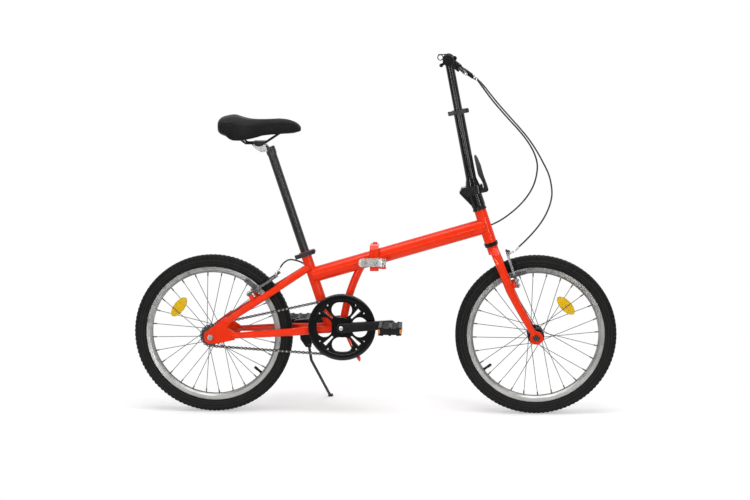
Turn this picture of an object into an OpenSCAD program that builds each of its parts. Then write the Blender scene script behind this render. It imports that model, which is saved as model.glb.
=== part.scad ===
// Folding bicycle with a single gear, rim brakes, a hinged main tube and a hinged stem.
// X points forward, Y to the rider's left and Z up. The origin lies on the ground midway between the axles.

/* [Wheels] */
// Distance between the wheel axles
wheelbase = 990; // [970:5:1010]
// Outer diameter of the tyres
tyre_od = 490; // [486:1:494]
// Widest width of the tyres
tyre_w = 48; // [44:1:50]
// Width of the flat tread band
tread_w = 24; // [16:1:28]
// Wall of the tyre casing
tyre_wall = 3.5; // [2.5:0.5:4]
// Diameter of the rim bed that carries the tyre
bead_d = 406; // [404:1:408]
// Height of the rim flanges above the bed
flange_h = 6; // [4:0.5:7]
// Depth of the rim below its bed
rim_depth = 12; // [9:0.5:14]
// Width of the rims over the brake tracks
rim_w = 25; // [24:0.5:27]
// Wall of the rims
rim_wall = 2; // [1.5:0.25:3]
// Spokes in each wheel
spoke_count = 28; // [20:4:28]
// Spoke thickness
spoke_d = 2; // [1.6:0.1:2.3]
// Diameter of the hub flanges
hub_flange_d = 50; // [44:1:56]
// Thickness of the hub flanges
hub_flange_t = 3; // [2:0.5:4]
// Diameter of the hub barrels
hub_barrel_d = 26; // [22:1:32]
// Diameter of both axles
axle_d = 10; // [9:0.5:12]
// Gap between the front dropouts
front_gap = 100; // [98:1:104]
// Gap between the rear dropouts
rear_gap = 112; // [110:1:116]
// Thickness of the dropout plates
dropout_t = 6; // [4:0.5:7]
// Thickness of the axle nuts
nut_t = 9; // [7:0.5:11]
// Length of thread beyond the axle nuts
thread_end = 6; // [4:0.5:8]
// Length of the spoke reflectors
reflector_l = 72; // [60:1:78]
// Height of the spoke reflectors
reflector_h = 34; // [28:1:38]

/* [Frame] */
// Height of the bottom bracket above the ground
bb_height = 275; // [268:1:282]
// Outer diameter of the bottom bracket shell
bb_shell_d = 40; // [38:0.5:44]
// Length of the bottom bracket shell
bb_shell_l = 68; // [64:1:72]
// Lean of the seat tube from upright
seat_tilt = 17.8; // [16:0.1:19]
// Distance from the bottom bracket back to the seat tube's axis
seat_offset = 41; // [38:0.5:44]
// Distance from the bottom bracket up to the seat tube's top
seat_height = 250; // [240:1:260]
// Length of the seat tube
seat_tube_l = 262; // [254:1:270]
// Outer diameter of the seat tube
seat_tube_d = 32; // [31:0.2:35]
// Outer diameter of the main tube
main_d = 47; // [44:0.5:50]
// Wall of the main tube
main_wall = 2; // [1.5:0.25:3]
// Rise of the main tube from level
main_tilt = 16.2; // [15:0.1:17]
// Height of the main tube's axis at the frame hinge
hinge_height = 482; // [476:1:488]
// Thickness of each frame hinge plate
hinge_t = 13; // [10:0.5:16]
// Height of the frame hinge plates
hinge_h = 78; // [72:1:84]
// Width of the frame hinge plates
hinge_w = 62; // [58:1:66]
// Diameter of the frame hinge pin
hinge_pin_d = 8; // [7:0.5:9]
// Diameter of the strut from bottom bracket to main tube
strut_d = 24; // [22:0.5:26]
// Bend radius of the strut
strut_bend = 520; // [480:10:560]
// Diameter of the chainstays
chainstay_d = 24; // [22:0.5:25]
// Diameter of the seatstays
seatstay_d = 21; // [19:0.5:22]

/* [Steering] */
// Lean of the steering axis from upright
head_tilt = 18.3; // [17.5:0.1:19]
// Distance of the front axle ahead of the steering axis
fork_rake = 42; // [38:0.5:46]
// Length from the front axle to the top of the fork crown
fork_length = 302; // [298:1:308]
// Diameter of the fork blades at the crown
blade_d = 26; // [24:0.5:27]
// Diameter of the steerer
steerer_d = 25.4; // [24:0.2:28]
// Outer diameter of the head tube
head_d = 37; // [35:0.5:40]
// Bore of the head tube
head_bore = 31; // [30:0.2:32]
// Length of the head tube
head_l = 104; // [98:1:110]
// Height of each headset cup's rim
cup_h = 12; // [9:0.5:14]
// Height of the stem base above the upper cup
stem_base_h = 52; // [48:1:58]
// Lean of the stem from upright
stem_tilt = 10.9; // [10:0.1:12]
// Outer diameter of the stem tube
stem_d = 31.6; // [30.6:0.2:34]
// Length of the stem tube above its hinge
stem_l = 246; // [236:1:256]
// Thickness of each stem hinge plate
stem_plate_t = 13; // [11:0.5:15]
// Diameter of the stem hinge pin
stem_pin_d = 7; // [6:0.5:8]
// Diameter of the upper post
upper_post_d = 25.4; // [24:0.2:27]
// Height of the handlebar above the stem hinge
bar_height = 397; // [385:1:405]
// Half the width of the handlebar over the grips
bar_half = 290; // [280:2:300]
// Diameter of the handlebar
bar_d = 22.2; // [21.8:0.2:25.4]
// Diameter of the grips
grip_d = 32; // [29:0.5:34]
// Length of the grips
grip_l = 118; // [110:1:126]
// Droop of the brake levers below level
lever_droop = 38; // [32:1:44]

/* [Drive] */
// Teeth on the chainring
ring_teeth = 44; // [42:2:46]
// Teeth on the rear sprocket
sprocket_teeth = 16; // [14:1:18]
// Links in the chain
chain_links = 94; // [94:2:96]
// Distance from the centre plane to the chain
chain_line = 42; // [41:0.5:43]
// Diameter of the chain guard
guard_d = 206; // [200:1:210]
// Crank length
crank_l = 152; // [146:1:156]
// Rise of the right crank from level
crank_angle = 5.5; // [0:0.5:12]
// Diameter of the crank spindle
spindle_d = 17; // [16:0.5:18]
// Length of the pedal bodies along the crank
pedal_l = 68; // [62:1:74]
// Width of the pedal bodies
pedal_w = 88; // [80:1:94]
// Thickness of the pedal bodies
pedal_t = 26; // [22:1:29]
// Diameter of the pedal spindles
pedal_pin_d = 9; // [8:0.5:10]

/* [Seat] */
// Diameter of the seat post
post_d = 27.2; // [26:0.2:28]
// Seat post length above the seat tube
post_out = 336; // [320:1:346]
// Seat post length inside the seat tube
post_in = 110; // [100:1:120]
// Saddle length
saddle_l = 247; // [240:1:256]
// Saddle width at the rear
saddle_w = 165; // [150:1:180]
// Diameter of the saddle rails
rail_d = 7; // [6:0.5:8]

/* [Stand] */
// Distance of the stand's foot from the centre plane
foot_out = 184; // [176:1:190]
// Thickness of the stand's leg
stand_d = 9; // [8:0.5:11]

/* [Clearances] */
// Radial running clearance of pins and shafts
run_gap = 0.05; // [0.02:0.01:0.1]
// Gap between parts that swing past each other
swing_gap = 0.3; // [0.2:0.05:0.5]
// Gap between each brake pad and the rim
pad_gap = 1.8; // [1.5:0.1:2.4]

/* [Hidden] */
$fn = 48;
cut = 1;

paint = [0.93, 0.17, 0.05];
black = [0.07, 0.07, 0.08];
dark = [0.18, 0.18, 0.19];
silver = [0.75, 0.75, 0.77];
amber = [0.95, 0.65, 0.05];

// Wheel and axle places
wheel_r = tyre_od / 2;
front_axle_at = [wheelbase / 2, 0, wheel_r];
rear_axle_at = [-wheelbase / 2, 0, wheel_r];
axle_r = axle_d / 2;
bed_r = bead_d / 2;
rim_in = bed_r - rim_depth;
section_r = tyre_w / 2;
section_c = wheel_r - sqrt(section_r * section_r - tread_w * tread_w / 4);
neck = rim_w / 2 - rim_wall;

// Chain path: pitch radii, centre distance for the stated links, and tangent angle
pitch = 12.7;
ring_r = pitch / (2 * sin(180 / ring_teeth));
sprocket_r = pitch / (2 * sin(180 / sprocket_teeth));
function belt_tilt(c) = asin((ring_r - sprocket_r) / c);
function run_links(c) = sqrt(c * c - pow(ring_r - sprocket_r, 2)) / pitch;
function ring_wrap(c) = ring_teeth * (180 + 2 * belt_tilt(c)) / 360;
function sprocket_wrap(c) = sprocket_teeth * (180 - 2 * belt_tilt(c)) / 360;
function all_links(c) = 2 * run_links(c) + ring_wrap(c) + sprocket_wrap(c);
function settle(c, rounds) = rounds == 0 ? c
    : settle(c + (chain_links - all_links(c)) * pitch / 2, rounds - 1);
stay_l = settle(400, 12);
bb_rise = bb_height - wheel_r;
bb = [rear_axle_at.x + sqrt(stay_l * stay_l - bb_rise * bb_rise), 0, bb_height];
stay_tilt = asin(bb_rise / stay_l);
belt = belt_tilt(stay_l);
top_turn = stay_tilt + 90 + belt;
low_turn = stay_tilt - 90 - belt;
lead_in = ring_wrap(stay_l) + run_links(stay_l);
function flat_dir(a) = [cos(a), 0, sin(a)];

// Steering axis: its foot is level with the front axle, local x points forward and local z up the axis
steer_foot = front_axle_at - fork_rake * flat_dir(head_tilt);
function steer_at(d, s) = steer_foot + d * flat_dir(head_tilt) + s * flat_dir(head_tilt + 90);
head_low = fork_length + cup_h;
head_top = head_low + head_l;
stem_foot = steer_at(0, head_top + cup_h + stem_base_h);
steerer_r = steerer_d / 2;
module steer() translate(steer_foot) rotate([0, -head_tilt, 0]) children();
module stem() translate(stem_foot) rotate([0, -stem_tilt, 0]) children();

// Seat axis: its origin is the top of the seat tube
seat_top = bb - seat_offset * flat_dir(seat_tilt) + seat_height * flat_dir(seat_tilt + 90);
post_r = post_d / 2;
post_bore = post_r + run_gap;
module seat() translate(seat_top) rotate([0, -seat_tilt, 0]) children();

// Main tube axis: its origin is the frame hinge, local x runs up the tube
hinge_x = 4;
hinge_at = [hinge_x, 0, hinge_height];
main_r = main_d / 2;
function reach(to, tilt) = (to - hinge_at) * flat_dir(tilt) / cos(main_tilt - tilt);
head_reach = reach(steer_foot, head_tilt);
seat_reach = reach(seat_top, seat_tilt);
module main() translate(hinge_at) rotate([0, -main_tilt, 0]) children();

// Brake pivots: along and across from the axle, in the frame that each brake stands in
boss_along = 170;
boss_out = 40;
front_boss_fore = -8;
rear_boss_fore = 42;
pad_along = 197;
rear_pad_along = 186;
rear_pad_fore = 64;
stay_rise = 32.7;
stay_drop = 13;
boss_r = 4;
arm_t = 7;

// Cords: routes chosen by hand, in millimetres
cord_r = 2.5;
front_cord = [[312, 104, 1022], [332.5, 96, 1002], [358, 84, 970.2], [383, 70, 940.2], [413, 54, 906.2],
    [443, 38, 873], [470.5, 22, 839.5], [493.5, 8, 805], [512.5, -4, 770.5], [528, -12, 738], [536, -18, 706],
    [538, -22, 674], [530, -26, 640], [514, -30, 606], [492, -34, 575], [464, -37, 544],
    [440.5, -38, 521.3]];
rear_cord_front = [[312, -104, 1022], [328.8, -96, 999], [353.5, -82, 965.8], [378.5, -66, 935.8],
    [408.5, -46, 901.8], [438.5, -26, 868.8], [465, -8, 835], [485.5, 8, 799.5], [496, 18, 764],
    [494, 27, 728], [484, 33, 694], [464, 37, 660], [438, 38, 631], [410, 37, 607.5], [384, 34, 590.5],
    [354, 30, 577]];
rear_cord_middle = [[353, 30, 576.7], [326, 28, 571], [302, 26.8, 565.9], [282.08, 26.5, 560.71],
    [90.02, 26.5, 504.91], [74, 29.8, 500], [58, 35.8, 495.2], [47, 40.7, 492.1]];
rear_cord_rear = [[46, 41.1, 491.8], [27, 49.4, 486.6], [4, 53, 480.4], [-20, 49.4, 473.4],
    [-45, 40.5, 466.2], [-68, 31, 459.2], [-87.63, 26.5, 453.3], [-110.68, 26.5, 446.6], [-130, 28, 441.2],
    [-152, 30, 437.5], [-172, 32, 437.5], [-192, 34, 442], [-208, 35, 450], [-224, 31, 462], [-242, 20, 470],
    [-256, 4, 474], [-266, -14, 472], [-274, -29, 466], [-280.6, -37.5, 456.6]];

function unit(v) = v / norm(v);
function path_dir(path, i) = unit(path[min(i + 1, len(path) - 1)] - path[max(i - 1, 0)]);
// One ring of points round a path, square to it
function path_ring(path, i, r, sides, hint) =
    let (dir = path_dir(path, i), u = unit(cross(hint, dir)), v = cross(dir, u))
    [for (k = [0:sides - 1]) path[i] + r * (cos(360 * k / sides) * u + sin(360 * k / sides) * v)];

// Closed solid through rings of points, each ring counterclockwise as seen from the last one
module loft(rings) {
    sides = len(rings[0]);
    last = (len(rings) - 1) * sides;
    walls = [for (i = [0:len(rings) - 2], k = [0:sides - 1]) let (next = (k + 1) % sides)
        [i * sides + k, (i + 1) * sides + k, (i + 1) * sides + next, i * sides + next]];
    start = [for (k = [0:sides - 1]) k];
    end = [for (k = [sides - 1:-1:0]) last + k];
    polyhedron(points = [for (ring = rings) each ring], faces = concat([start], [end], walls));
}
// Tube swept along a path, with one radius for each of its points
module swept_tube(path, radii, sides = 16, hint = [0, 1, 0])
    loft([for (i = [0:len(path) - 1]) path_ring(path, i, radii[i], sides, hint)]);
// Rod between two places
module rod(from, to, r) {
    way = to - from;
    translate(from) rotate([0, acos(way.z / norm(way)), atan2(way.y, way.x)])
        cylinder(r = r, h = norm(way), $fn = 16);
}
module cord(path, hint = [0, 1, 0]) swept_tube(path, [for (p = path) cord_r], 8, hint);

// Cylinder along Y from one side to the other
module cross_rod(r, from, to) translate([0, to, 0]) rotate([90, 0, 0]) cylinder(r = r, h = to - from);
// Flat outline in the XZ plane given thickness along Y
module side_plate(from, to) translate([0, to, 0]) rotate([90, 0, 0]) linear_extrude(to - from) children();
// Solid of revolution about Y from an outline of radius and offset
module spun() rotate([-90, 0, 0]) rotate_extrude($fn = 96) children();
module hex_nut(r, from, to) translate([0, to, 0]) rotate([90, 0, 0]) cylinder(r = r, h = to - from, $fn = 6);
// Bar with round ends between two places on the X axis, as a flat outline
module round_bar(length, r1, r2) {
    circle(r1);
    translate([length, 0]) circle(r2);
    polygon([[0, -r1], [length, -r2], [length, r2], [0, r1]]);
}

// Solid envelopes that neighbouring tubes are cut to
module seat_tube_body() seat() translate([0, 0, -seat_tube_l]) cylinder(d = seat_tube_d, h = seat_tube_l);
module shell_body() translate(bb) cross_rod(bb_shell_d / 2, -bb_shell_l / 2, bb_shell_l / 2);
// Room round the seat axis for the tube, and for its collar and lever
module seat_room() seat() {
    back = seat_tube_d / 2 + 17;
    right = seat_tube_d / 2 + 14;
    translate([0, 0, -seat_tube_l]) cylinder(d = seat_tube_d, h = 2 * seat_tube_l);
    translate([-back, -right, -collar_h - 1 - swing_gap])
        cube([back + ear_x + collar_h / 2 + swing_gap, right + 13, seat_tube_l]);
}
// Room round the steering axis below or above the head tube
module cup_room(from) steer() translate([0, 0, from]) cylinder(r = cup_rim + swing_gap, h = 5 * cup_h);
module main_body(from, to) main() translate([from, 0, 0]) rotate([0, 90, 0])
    cylinder(r = main_r, h = to - from);

module seat_tube() color(paint) difference() {
    seat_tube_body();
    seat() translate([0, 0, -seat_tube_l - cut]) cylinder(r = post_bore, h = seat_tube_l + 2 * cut);
}

// Frame hinge: both plates meet at an upright plane, and the pin stands beside the left edge
knuckle_r = 8;
pin_y = hinge_w / 2 - 1 + knuckle_r;
knuckle_h = hinge_h / 3;
guide_r = 4;
catch_z = 7;
module hinge_plate(from, to) {
    half_w = hinge_w / 2;
    half_h = hinge_h / 2;
    corner = 10;
    translate([from, 0, hinge_height]) rotate([90, 0, 90]) linear_extrude(to - from)
        polygon([[-half_w, corner - half_h], [corner - half_w, -half_h], [half_w - 2, -half_h],
            [half_w - 2, half_h], [corner - half_w, half_h], [-half_w, half_h - corner]]);
}
// Knuckle on the hinge pin with the web that ties it to its plate
module knuckle(low, high, from, to) {
    translate([hinge_x, pin_y, hinge_height + low]) cylinder(r = knuckle_r, h = high - low);
    translate([from, 0, hinge_height + low]) cube([to - from, pin_y, high - low]);
}
module hinge_bore() translate([hinge_x, pin_y, hinge_height - hinge_h])
    cylinder(r = hinge_pin_d / 2 + run_gap, h = 2 * hinge_h);
// Short tube on the main tube's left side that holds the rear cord
module cable_guide(q, r, past = 0) main() translate([q - past, 26.5, -2]) rotate([0, 90, 0])
    cylinder(r = r, h = 14 + 2 * past);

module rear_main_tube() color(paint) difference() {
    union() {
        difference() {
            main_body(seat_reach, 0);
            main() translate([seat_reach - cut, 0, 0]) rotate([0, 90, 0])
                cylinder(r = main_r - main_wall, h = -seat_reach - 2 * hinge_t);
            translate([hinge_x - hinge_t, -main_d, hinge_height - hinge_h])
                cube([main_d, 2 * main_d, 2 * hinge_h]);
        }
        hinge_plate(hinge_x - hinge_t, hinge_x - swing_gap / 2);
        for (low = [-hinge_h / 2, knuckle_h / 2])
            knuckle(low, low + knuckle_h, hinge_x - hinge_t, hinge_x - swing_gap / 2);
        cable_guide(rear_guide, guide_r);
        translate([hinge_x - hinge_t, latch_y + latch_in + swing_gap, latch_z - catch_z])
            cube([8, 10, 2 * catch_z]);
    }
    cable_guide(rear_guide, cord_r + run_gap, cut);
    seat_room();
    hinge_bore();
    translate([hinge_x, pin_y, hinge_height - knuckle_h / 2 - swing_gap])
        cylinder(r = knuckle_r + swing_gap, h = knuckle_h + 2 * swing_gap);
}

module frame_hinge_pin() color(silver) {
    head_t = 3;
    translate([hinge_x, pin_y, hinge_height - hinge_h / 2]) cylinder(d = hinge_pin_d, h = hinge_h);
    for (z = [-hinge_h / 2 - head_t, hinge_h / 2])
        translate([hinge_x, pin_y, hinge_height + z]) cylinder(r = knuckle_r - 1, h = head_t);
}

// Strut: an arc from the bottom bracket to a place on the main tube's axis a set way behind the hinge
strut_back = 32.4;
strut_way = hinge_at - strut_back * flat_dir(main_tilt) - bb;
strut_half = asin(norm(strut_way) / 2 / strut_bend);
strut_turn = atan2(strut_way.z, strut_way.x) + 90;
module strut_tube() color(paint) difference() {
    translate(bb - strut_bend * flat_dir(strut_turn + strut_half)) rotate([90, 0, 0])
        rotate([0, 0, strut_turn - strut_half]) rotate_extrude(angle = 2 * strut_half, $fn = 96)
            translate([strut_bend, 0]) circle(d = strut_d);
    main_body(seat_reach, 0);
    shell_body();
}

module bottom_bracket_shell() color(paint) {
    loop_r = 3;
    loop_y = 20;
    lug_y = 15;
    foot = bb + [50, 0, -112];
    half_loop = [bb + [4, loop_y, -17], bb + [24, loop_y, -62], foot + [-6, loop_y - 1, 11],
        foot + [0, loop_y - 9, 0]];
    far_half = [for (i = [3:-1:0]) [half_loop[i].x, -half_loop[i].y, half_loop[i].z]];
    difference() {
        union() {
            shell_body();
            translate(bb) side_plate(-lug_y, lug_y)
                polygon([[0, -bb_shell_d / 2 + 2], [-seat_offset, -bb_shell_d / 2], [-seat_offset, 14],
                    [0, 18]]);
            swept_tube(concat(half_loop, far_half), [for (i = [0:7]) loop_r], 12, [0.88, 0, 0.47]);
        }
        translate(bb) cross_rod(cup_r, -bb_shell_l, bb_shell_l);
        seat_tube_body();
    }
}
cup_r = bb_shell_d / 2 - 3;
module bottom_bracket_cups() color(dark) for (side = [-1, 1])
    mirror([0, side < 0 ? 1 : 0, 0]) translate(bb) {
    rim_t = 3;
    difference() {
        union() {
            cross_rod(cup_r, bb_shell_l / 2 - 14, bb_shell_l / 2);
            cross_rod(bb_shell_d / 2 - 1, bb_shell_l / 2, bb_shell_l / 2 + rim_t);
        }
        cross_rod(spindle_d / 2 + run_gap, 0, bb_shell_l);
    }
}

// Rear triangle: points are given from the axle or the bottom bracket for the left side, then mirrored
rear_inner = rear_gap / 2;
module both_sides() for (side = [0, 1]) mirror([0, side, 0]) children();
module chainstay_tube() {
    r = chainstay_d / 2;
    path = [bb + [-24, 22, -10], bb + [-88, 25.5, -15], bb + [-156, 41, -18], bb + [-236, 50, -22],
        rear_axle_at + [66, rear_inner + 1, 3]];
    swept_tube(path, [r, r, r, r - 1, r - 3]);
}
module dropout_plate() translate(rear_axle_at) side_plate(rear_inner, rear_inner + dropout_t)
    difference() {
        polygon([[-19, 12], [-19, -12], [-8, -21], [20, -21], [74, -9], [74, 13], [52, 28], [64, 50],
            [46, 60], [-8, 20]]);
        circle(axle_r);
    }
stand_pivot = bb + [-112, 46, -70];
module stand_bracket() {
    plate_t = 8;
    translate([stand_pivot.x, 0, stand_pivot.z]) side_plate(stand_pivot.y - plate_t - 5, stand_pivot.y - 5)
        polygon([[-27, 52], [-25, 14], [-8, -11], [9, -11], [12, 52]]);
}
module chainstays() color(paint) difference() {
    union() {
        both_sides() {
            chainstay_tube();
            dropout_plate();
        }
        stand_bracket();
    }
    shell_body();
    seat_tube_body();
    translate(bb) side_plate(-15, 15) polygon([[0, -30], [-seat_offset, -30], [-seat_offset, 30], [0, 30]]);
    stand_bore();
}
// Kickstand: it turns on an axis leaned so that the leg folds back beside the wheel
stand_axis = unit([-0.17, 1, 0.125]);
stand_pin_r = 4;
stand_head_r = 11;
module on_stand() translate(stand_pivot)
    rotate([0, acos(stand_axis.z), atan2(stand_axis.y, stand_axis.x)]) children();
module stand_bore() on_stand() translate([0, 0, -30]) cylinder(r = stand_pin_r + run_gap, h = 30);
module kickstand() color(black) {
    head_t = 12;
    leg_r = stand_d / 2;
    start = stand_pivot + stand_axis * head_t / 2;
    bend = [stand_pivot.x + 6, stand_pivot.y + 13, stand_pivot.z - 58];
    foot = [bend.x + 48, foot_out, 0];
    leg = unit(foot - bend);
    difference() {
        union() {
            on_stand() translate([0, 0, -16]) cylinder(r = stand_pin_r, h = 17);
            on_stand() cylinder(r = stand_head_r, h = head_t);
            swept_tube([start + [0, 0, -4], bend, foot + 8 * leg], [leg_r, leg_r, leg_r], 16, [1, 0, 0]);
            translate(foot) cylinder(r = leg_r + 4, h = 7);
        }
        translate(foot + [-50, -50, -50]) cube([100, 100, 50]);
    }
}

// Brake frames: local z runs up the fork or the stay, local x ahead of it, from the wheel's axle
module front_brake() translate(front_axle_at) rotate([0, -head_tilt, 0]) children();
module rear_brake() translate(rear_axle_at) rotate([0, 90 - stay_rise, 0]) mirror([1, 0, 0]) children();
// Boss with its pivot pin, from the tube outwards
module brake_boss(fore, from) translate([0, boss_out, boss_along]) rotate([0, 90, 0]) {
    translate([0, 0, from]) cylinder(r = boss_r + 3, h = fore - from);
    translate([0, 0, from]) cylinder(r = boss_r, h = fore - from + arm_t + 5);
}

module seatstays() color(paint) difference() {
    r = seatstay_d / 2;
    stay = flat_dir(stay_rise);
    foot = rear_axle_at + stay_drop * flat_dir(stay_rise + 90);
    meet = seat_top - 48 * flat_dir(seat_tilt + 90);
    path = [meet + [2, 13, 0], foot + 320 * stay + [0, 24, 0], foot + 204 * stay + [0, 44.5, 0],
        foot + 64 * stay + [0, rear_inner + 2, 0]];
    union() {
        both_sides() {
            swept_tube(path, [r, r, r, r - 1.5]);
            rear_brake() brake_boss(rear_boss_fore, stay_drop);
        }
        translate(foot + 288 * stay) cross_rod(7, -26, 26);
    }
    seat_tube_body();
    both_sides() dropout_plate();
}

module axle_set(half_gap, cone_r) {
    end = half_gap + dropout_t + nut_t + thread_end;
    cone_t = 3;
    cross_rod(axle_r, -end, end);
    both_sides() {
        hex_nut(axle_r * 1.9, half_gap + dropout_t, half_gap + dropout_t + nut_t);
        cross_rod(cone_r, half_gap - cone_t, half_gap);
    }
}
module rear_axle() color(silver) translate(rear_axle_at) axle_set(rear_inner, 8);
module front_axle() color(silver) translate(front_axle_at) axle_set(front_gap / 2, 8);

// Quick-release collar round a tube, with its bolt in front and a pivot for the lever on the right
ear_x = 25;
collar_wall = 4;
pivot_y = -15;
lever_pin_r = 2.5;
module clamp_collar(inner_r, height) {
    difference() {
        union() {
            cylinder(r = inner_r + collar_wall, h = height);
            translate([0, -8, 0]) cube([ear_x, 16, height]);
            translate([ear_x, 0, height / 2]) cross_rod(height / 2, -8, 8);
        }
        translate([0, 0, -cut]) cylinder(r = inner_r, h = height + 2 * cut);
        translate([inner_r - cut, -0.75, -cut]) cube([ear_x, 1.5, height + 2 * cut]);
    }
    translate([ear_x, 0, height / 2]) cross_rod(lever_pin_r, pivot_y, 12);
    translate([ear_x, 0, height / 2]) cross_rod(5, 8, 12);
    translate([ear_x, pivot_y, 0]) cylinder(r = lever_pin_r, h = height);
}
// Lever that lies along the collar's right side, with its tip behind
module clamp_lever(inner_r, height) {
    side_y = -inner_r - 9;
    eye_r = 6;
    tip_x = -inner_r - 16;
    difference() {
        union() {
            translate([ear_x, pivot_y, 0]) cylinder(r = eye_r, h = height);
            linear_extrude(height) polygon([[ear_x - 2, pivot_y - eye_r], [ear_x - 4, pivot_y + 3],
                [ear_x - 15, side_y + 4], [-inner_r, side_y + 4], [tip_x, side_y + 9], [tip_x, side_y + 5],
                [-inner_r, side_y], [ear_x - 15, side_y]]);
        }
        translate([ear_x, pivot_y, -cut]) cylinder(r = lever_pin_r + run_gap, h = height + 2 * cut);
        translate([ear_x - eye_r - 2, pivot_y - 3, height / 2 - lever_pin_r - swing_gap])
            cube([2 * eye_r + 3, 20, 2 * (lever_pin_r + swing_gap)]);
        translate([ear_x, pivot_y, height / 2 - lever_pin_r - swing_gap])
            cylinder(r = eye_r + swing_gap, h = 2 * (lever_pin_r + swing_gap));
    }
}
collar_h = 13;
module seat_clamp() color(dark) seat() translate([0, 0, -collar_h - 1])
    clamp_collar(seat_tube_d / 2, collar_h);
module seat_clamp_lever() color(dark) seat() translate([0, 0, -collar_h - 1])
    clamp_lever(seat_tube_d / 2, collar_h);

module seat_post() color(dark) seat() difference() {
    translate([0, 0, -post_in]) cylinder(r = post_r, h = post_in + post_out);
    translate([0, 0, -post_in - cut]) cylinder(r = post_r - 2.4, h = post_in + post_out - 20);
}

// Saddle: the clamp grips the rails behind the top of the post, and the rails tilt in its cradle
post_top = seat_top + post_out * flat_dir(seat_tilt + 90);
rail_at = post_top + [-30, 0, 12];
tilt_at = rail_at + [0, 0, 8];
rail_y = 22;
rail_r = rail_d / 2;
cradle_r = 18;
cradle_t = 8;
cradle_half = 15;
module saddle_clamp() color(silver) difference() {
    union() {
        translate(tilt_at) difference() {
            cross_rod(cradle_r + cradle_t, -cradle_half, cradle_half);
            translate([-40, -40, -12]) cube([80, 80, 60]);
        }
        translate(rail_at) side_plate(-cradle_half + 2, cradle_half - 2)
            polygon([[-18, -8], [-10, -18], [4, -28], [40, -24], [30, -10], [14, -7]]);
        seat() translate([0, 0, post_out - 24]) cylinder(r = post_r + 1.5, h = 23);
    }
    seat() translate([0, 0, post_out - 50]) cylinder(r = post_r, h = 80);
    translate(tilt_at) cross_rod(cradle_r, -cradle_half - cut, cradle_half + cut);
}
module saddle_rails() color(dark) {
    path = [rail_at + [-58, rail_y + 6, 15], rail_at + [-40, rail_y, 0], rail_at + [16, rail_y, 0],
        rail_at + [68, 12, 33.5]];
    both_sides() swept_tube(path, [rail_r, rail_r, rail_r, rail_r], 12);
    difference() {
        translate(tilt_at) cross_rod(cradle_r - run_gap, -rail_y - 5, rail_y + 5);
        translate(rail_at + [-40, -40, 6]) cube([80, 80, 40]);
    }
}
// Saddle stations from the nose back: share of the length, half width, top and lower edge above the rails
saddle_wide = 165;
saddle_rows = [[0, 8, 44, 36], [0.03, 16, 56, 33], [0.09, 22, 66, 31], [0.2, 26, 72, 30], [0.32, 29, 70, 28],
    [0.44, 34, 69, 24], [0.54, 43, 69, 17], [0.64, 56, 71, 12], [0.74, 69, 77, 9], [0.83, 79, 84, 12],
    [0.9, 82.5, 83, 25], [0.96, 79, 81, 31], [1, 64, 72, 36]];
saddle_nose = rail_at + [128, 0, 0];
function saddle_lip(row) = row[3] + min(9, 0.35 * (row[2] - row[3]));
function cover_half(w, high, low, lip) = let (h = high - low) [[0, high], [0.45 * w, high - 0.02 * h],
    [0.78 * w, high - 0.11 * h], [0.94 * w, high - 0.3 * h], [w, high - 0.58 * h], [0.97 * w, low],
    [0.9 * w, low], [0.86 * w, lip], [0, lip]];
base_dish = 0.4;
function base_half(w, lip) = [[0, lip - run_gap], [0.84 * w, lip - run_gap - base_dish], [0.82 * w, lip - 4],
    [0, lip - 4 + base_dish]];
// Half outline and its mirror image, placed at one station
function saddle_ring(row, half) = let (n = len(half)) [for (i = [0:2 * n - 3])
    let (p = i < n ? half[i] : half[2 * n - 2 - i])
    saddle_nose + [-saddle_l * row[0], i < n ? p[0] : -p[0], p[1]]];
function row_width(row) = row[1] * saddle_w / saddle_wide;
module saddle_cover() color(black)
    loft([for (row = saddle_rows)
        saddle_ring(row, cover_half(row_width(row), row[2], row[3], saddle_lip(row)))]);
module saddle_base() color(dark)
    loft([for (i = [2:11]) let (row = saddle_rows[i])
        saddle_ring(row, base_half(row_width(row), saddle_lip(row)))]);

// Latch: it turns on an upright pin ahead of the hinge and lies across both plates on the right
latch_x = 34;
latch_y = -38;
latch_z = hinge_height - 10;
latch_h = 26;
latch_in = 3;
latch_pin_r = 3;
latch_eye_r = 7;
ear_h = 6;
front_guides = [94, 270];
rear_guide = -115;
module head_body(r) steer() translate([0, 0, head_low - cut]) cylinder(r = r, h = head_l + 2 * cut);
module front_frame_tube() color(paint) {
    difference() {
        union() {
            difference() {
                main_body(0, head_reach);
                main() translate([2 * hinge_t, 0, 0]) rotate([0, 90, 0])
                    cylinder(r = main_r - main_wall, h = head_reach - 2 * hinge_t);
                translate([hinge_x - main_d, -main_d, hinge_height - hinge_h])
                    cube([main_d + hinge_t, 2 * main_d, 2 * hinge_h]);
            }
            steer() translate([0, 0, head_low]) cylinder(d = head_d, h = head_l);
            hinge_plate(hinge_x + swing_gap / 2, hinge_x + hinge_t);
            knuckle(-knuckle_h / 2, knuckle_h / 2, hinge_x + swing_gap / 2, hinge_x + hinge_t);
            for (q = front_guides) cable_guide(q, guide_r);
        }
        for (q = front_guides) cable_guide(q, cord_r + run_gap, cut);
        head_body(head_bore / 2);
        cup_room(head_low - 5 * cup_h);
        cup_room(head_top);
        hinge_bore();
        for (low = [-hinge_h / 2, knuckle_h / 2]) translate([hinge_x, pin_y, hinge_height + low - swing_gap])
            cylinder(r = knuckle_r + swing_gap, h = knuckle_h + 2 * swing_gap);
    }
    for (low = [-latch_h / 2 - ear_h, latch_h / 2]) translate([0, 0, latch_z + low]) linear_extrude(ear_h) {
        translate([latch_x, latch_y]) circle(latch_eye_r);
        polygon([[12, -30], [12, -16], [17, -16], [38, -32], [30, -43]]);
    }
    translate([latch_x, latch_y, latch_z - latch_h / 2 - ear_h])
        cylinder(r = latch_pin_r, h = latch_h + 2 * ear_h);
}
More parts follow.
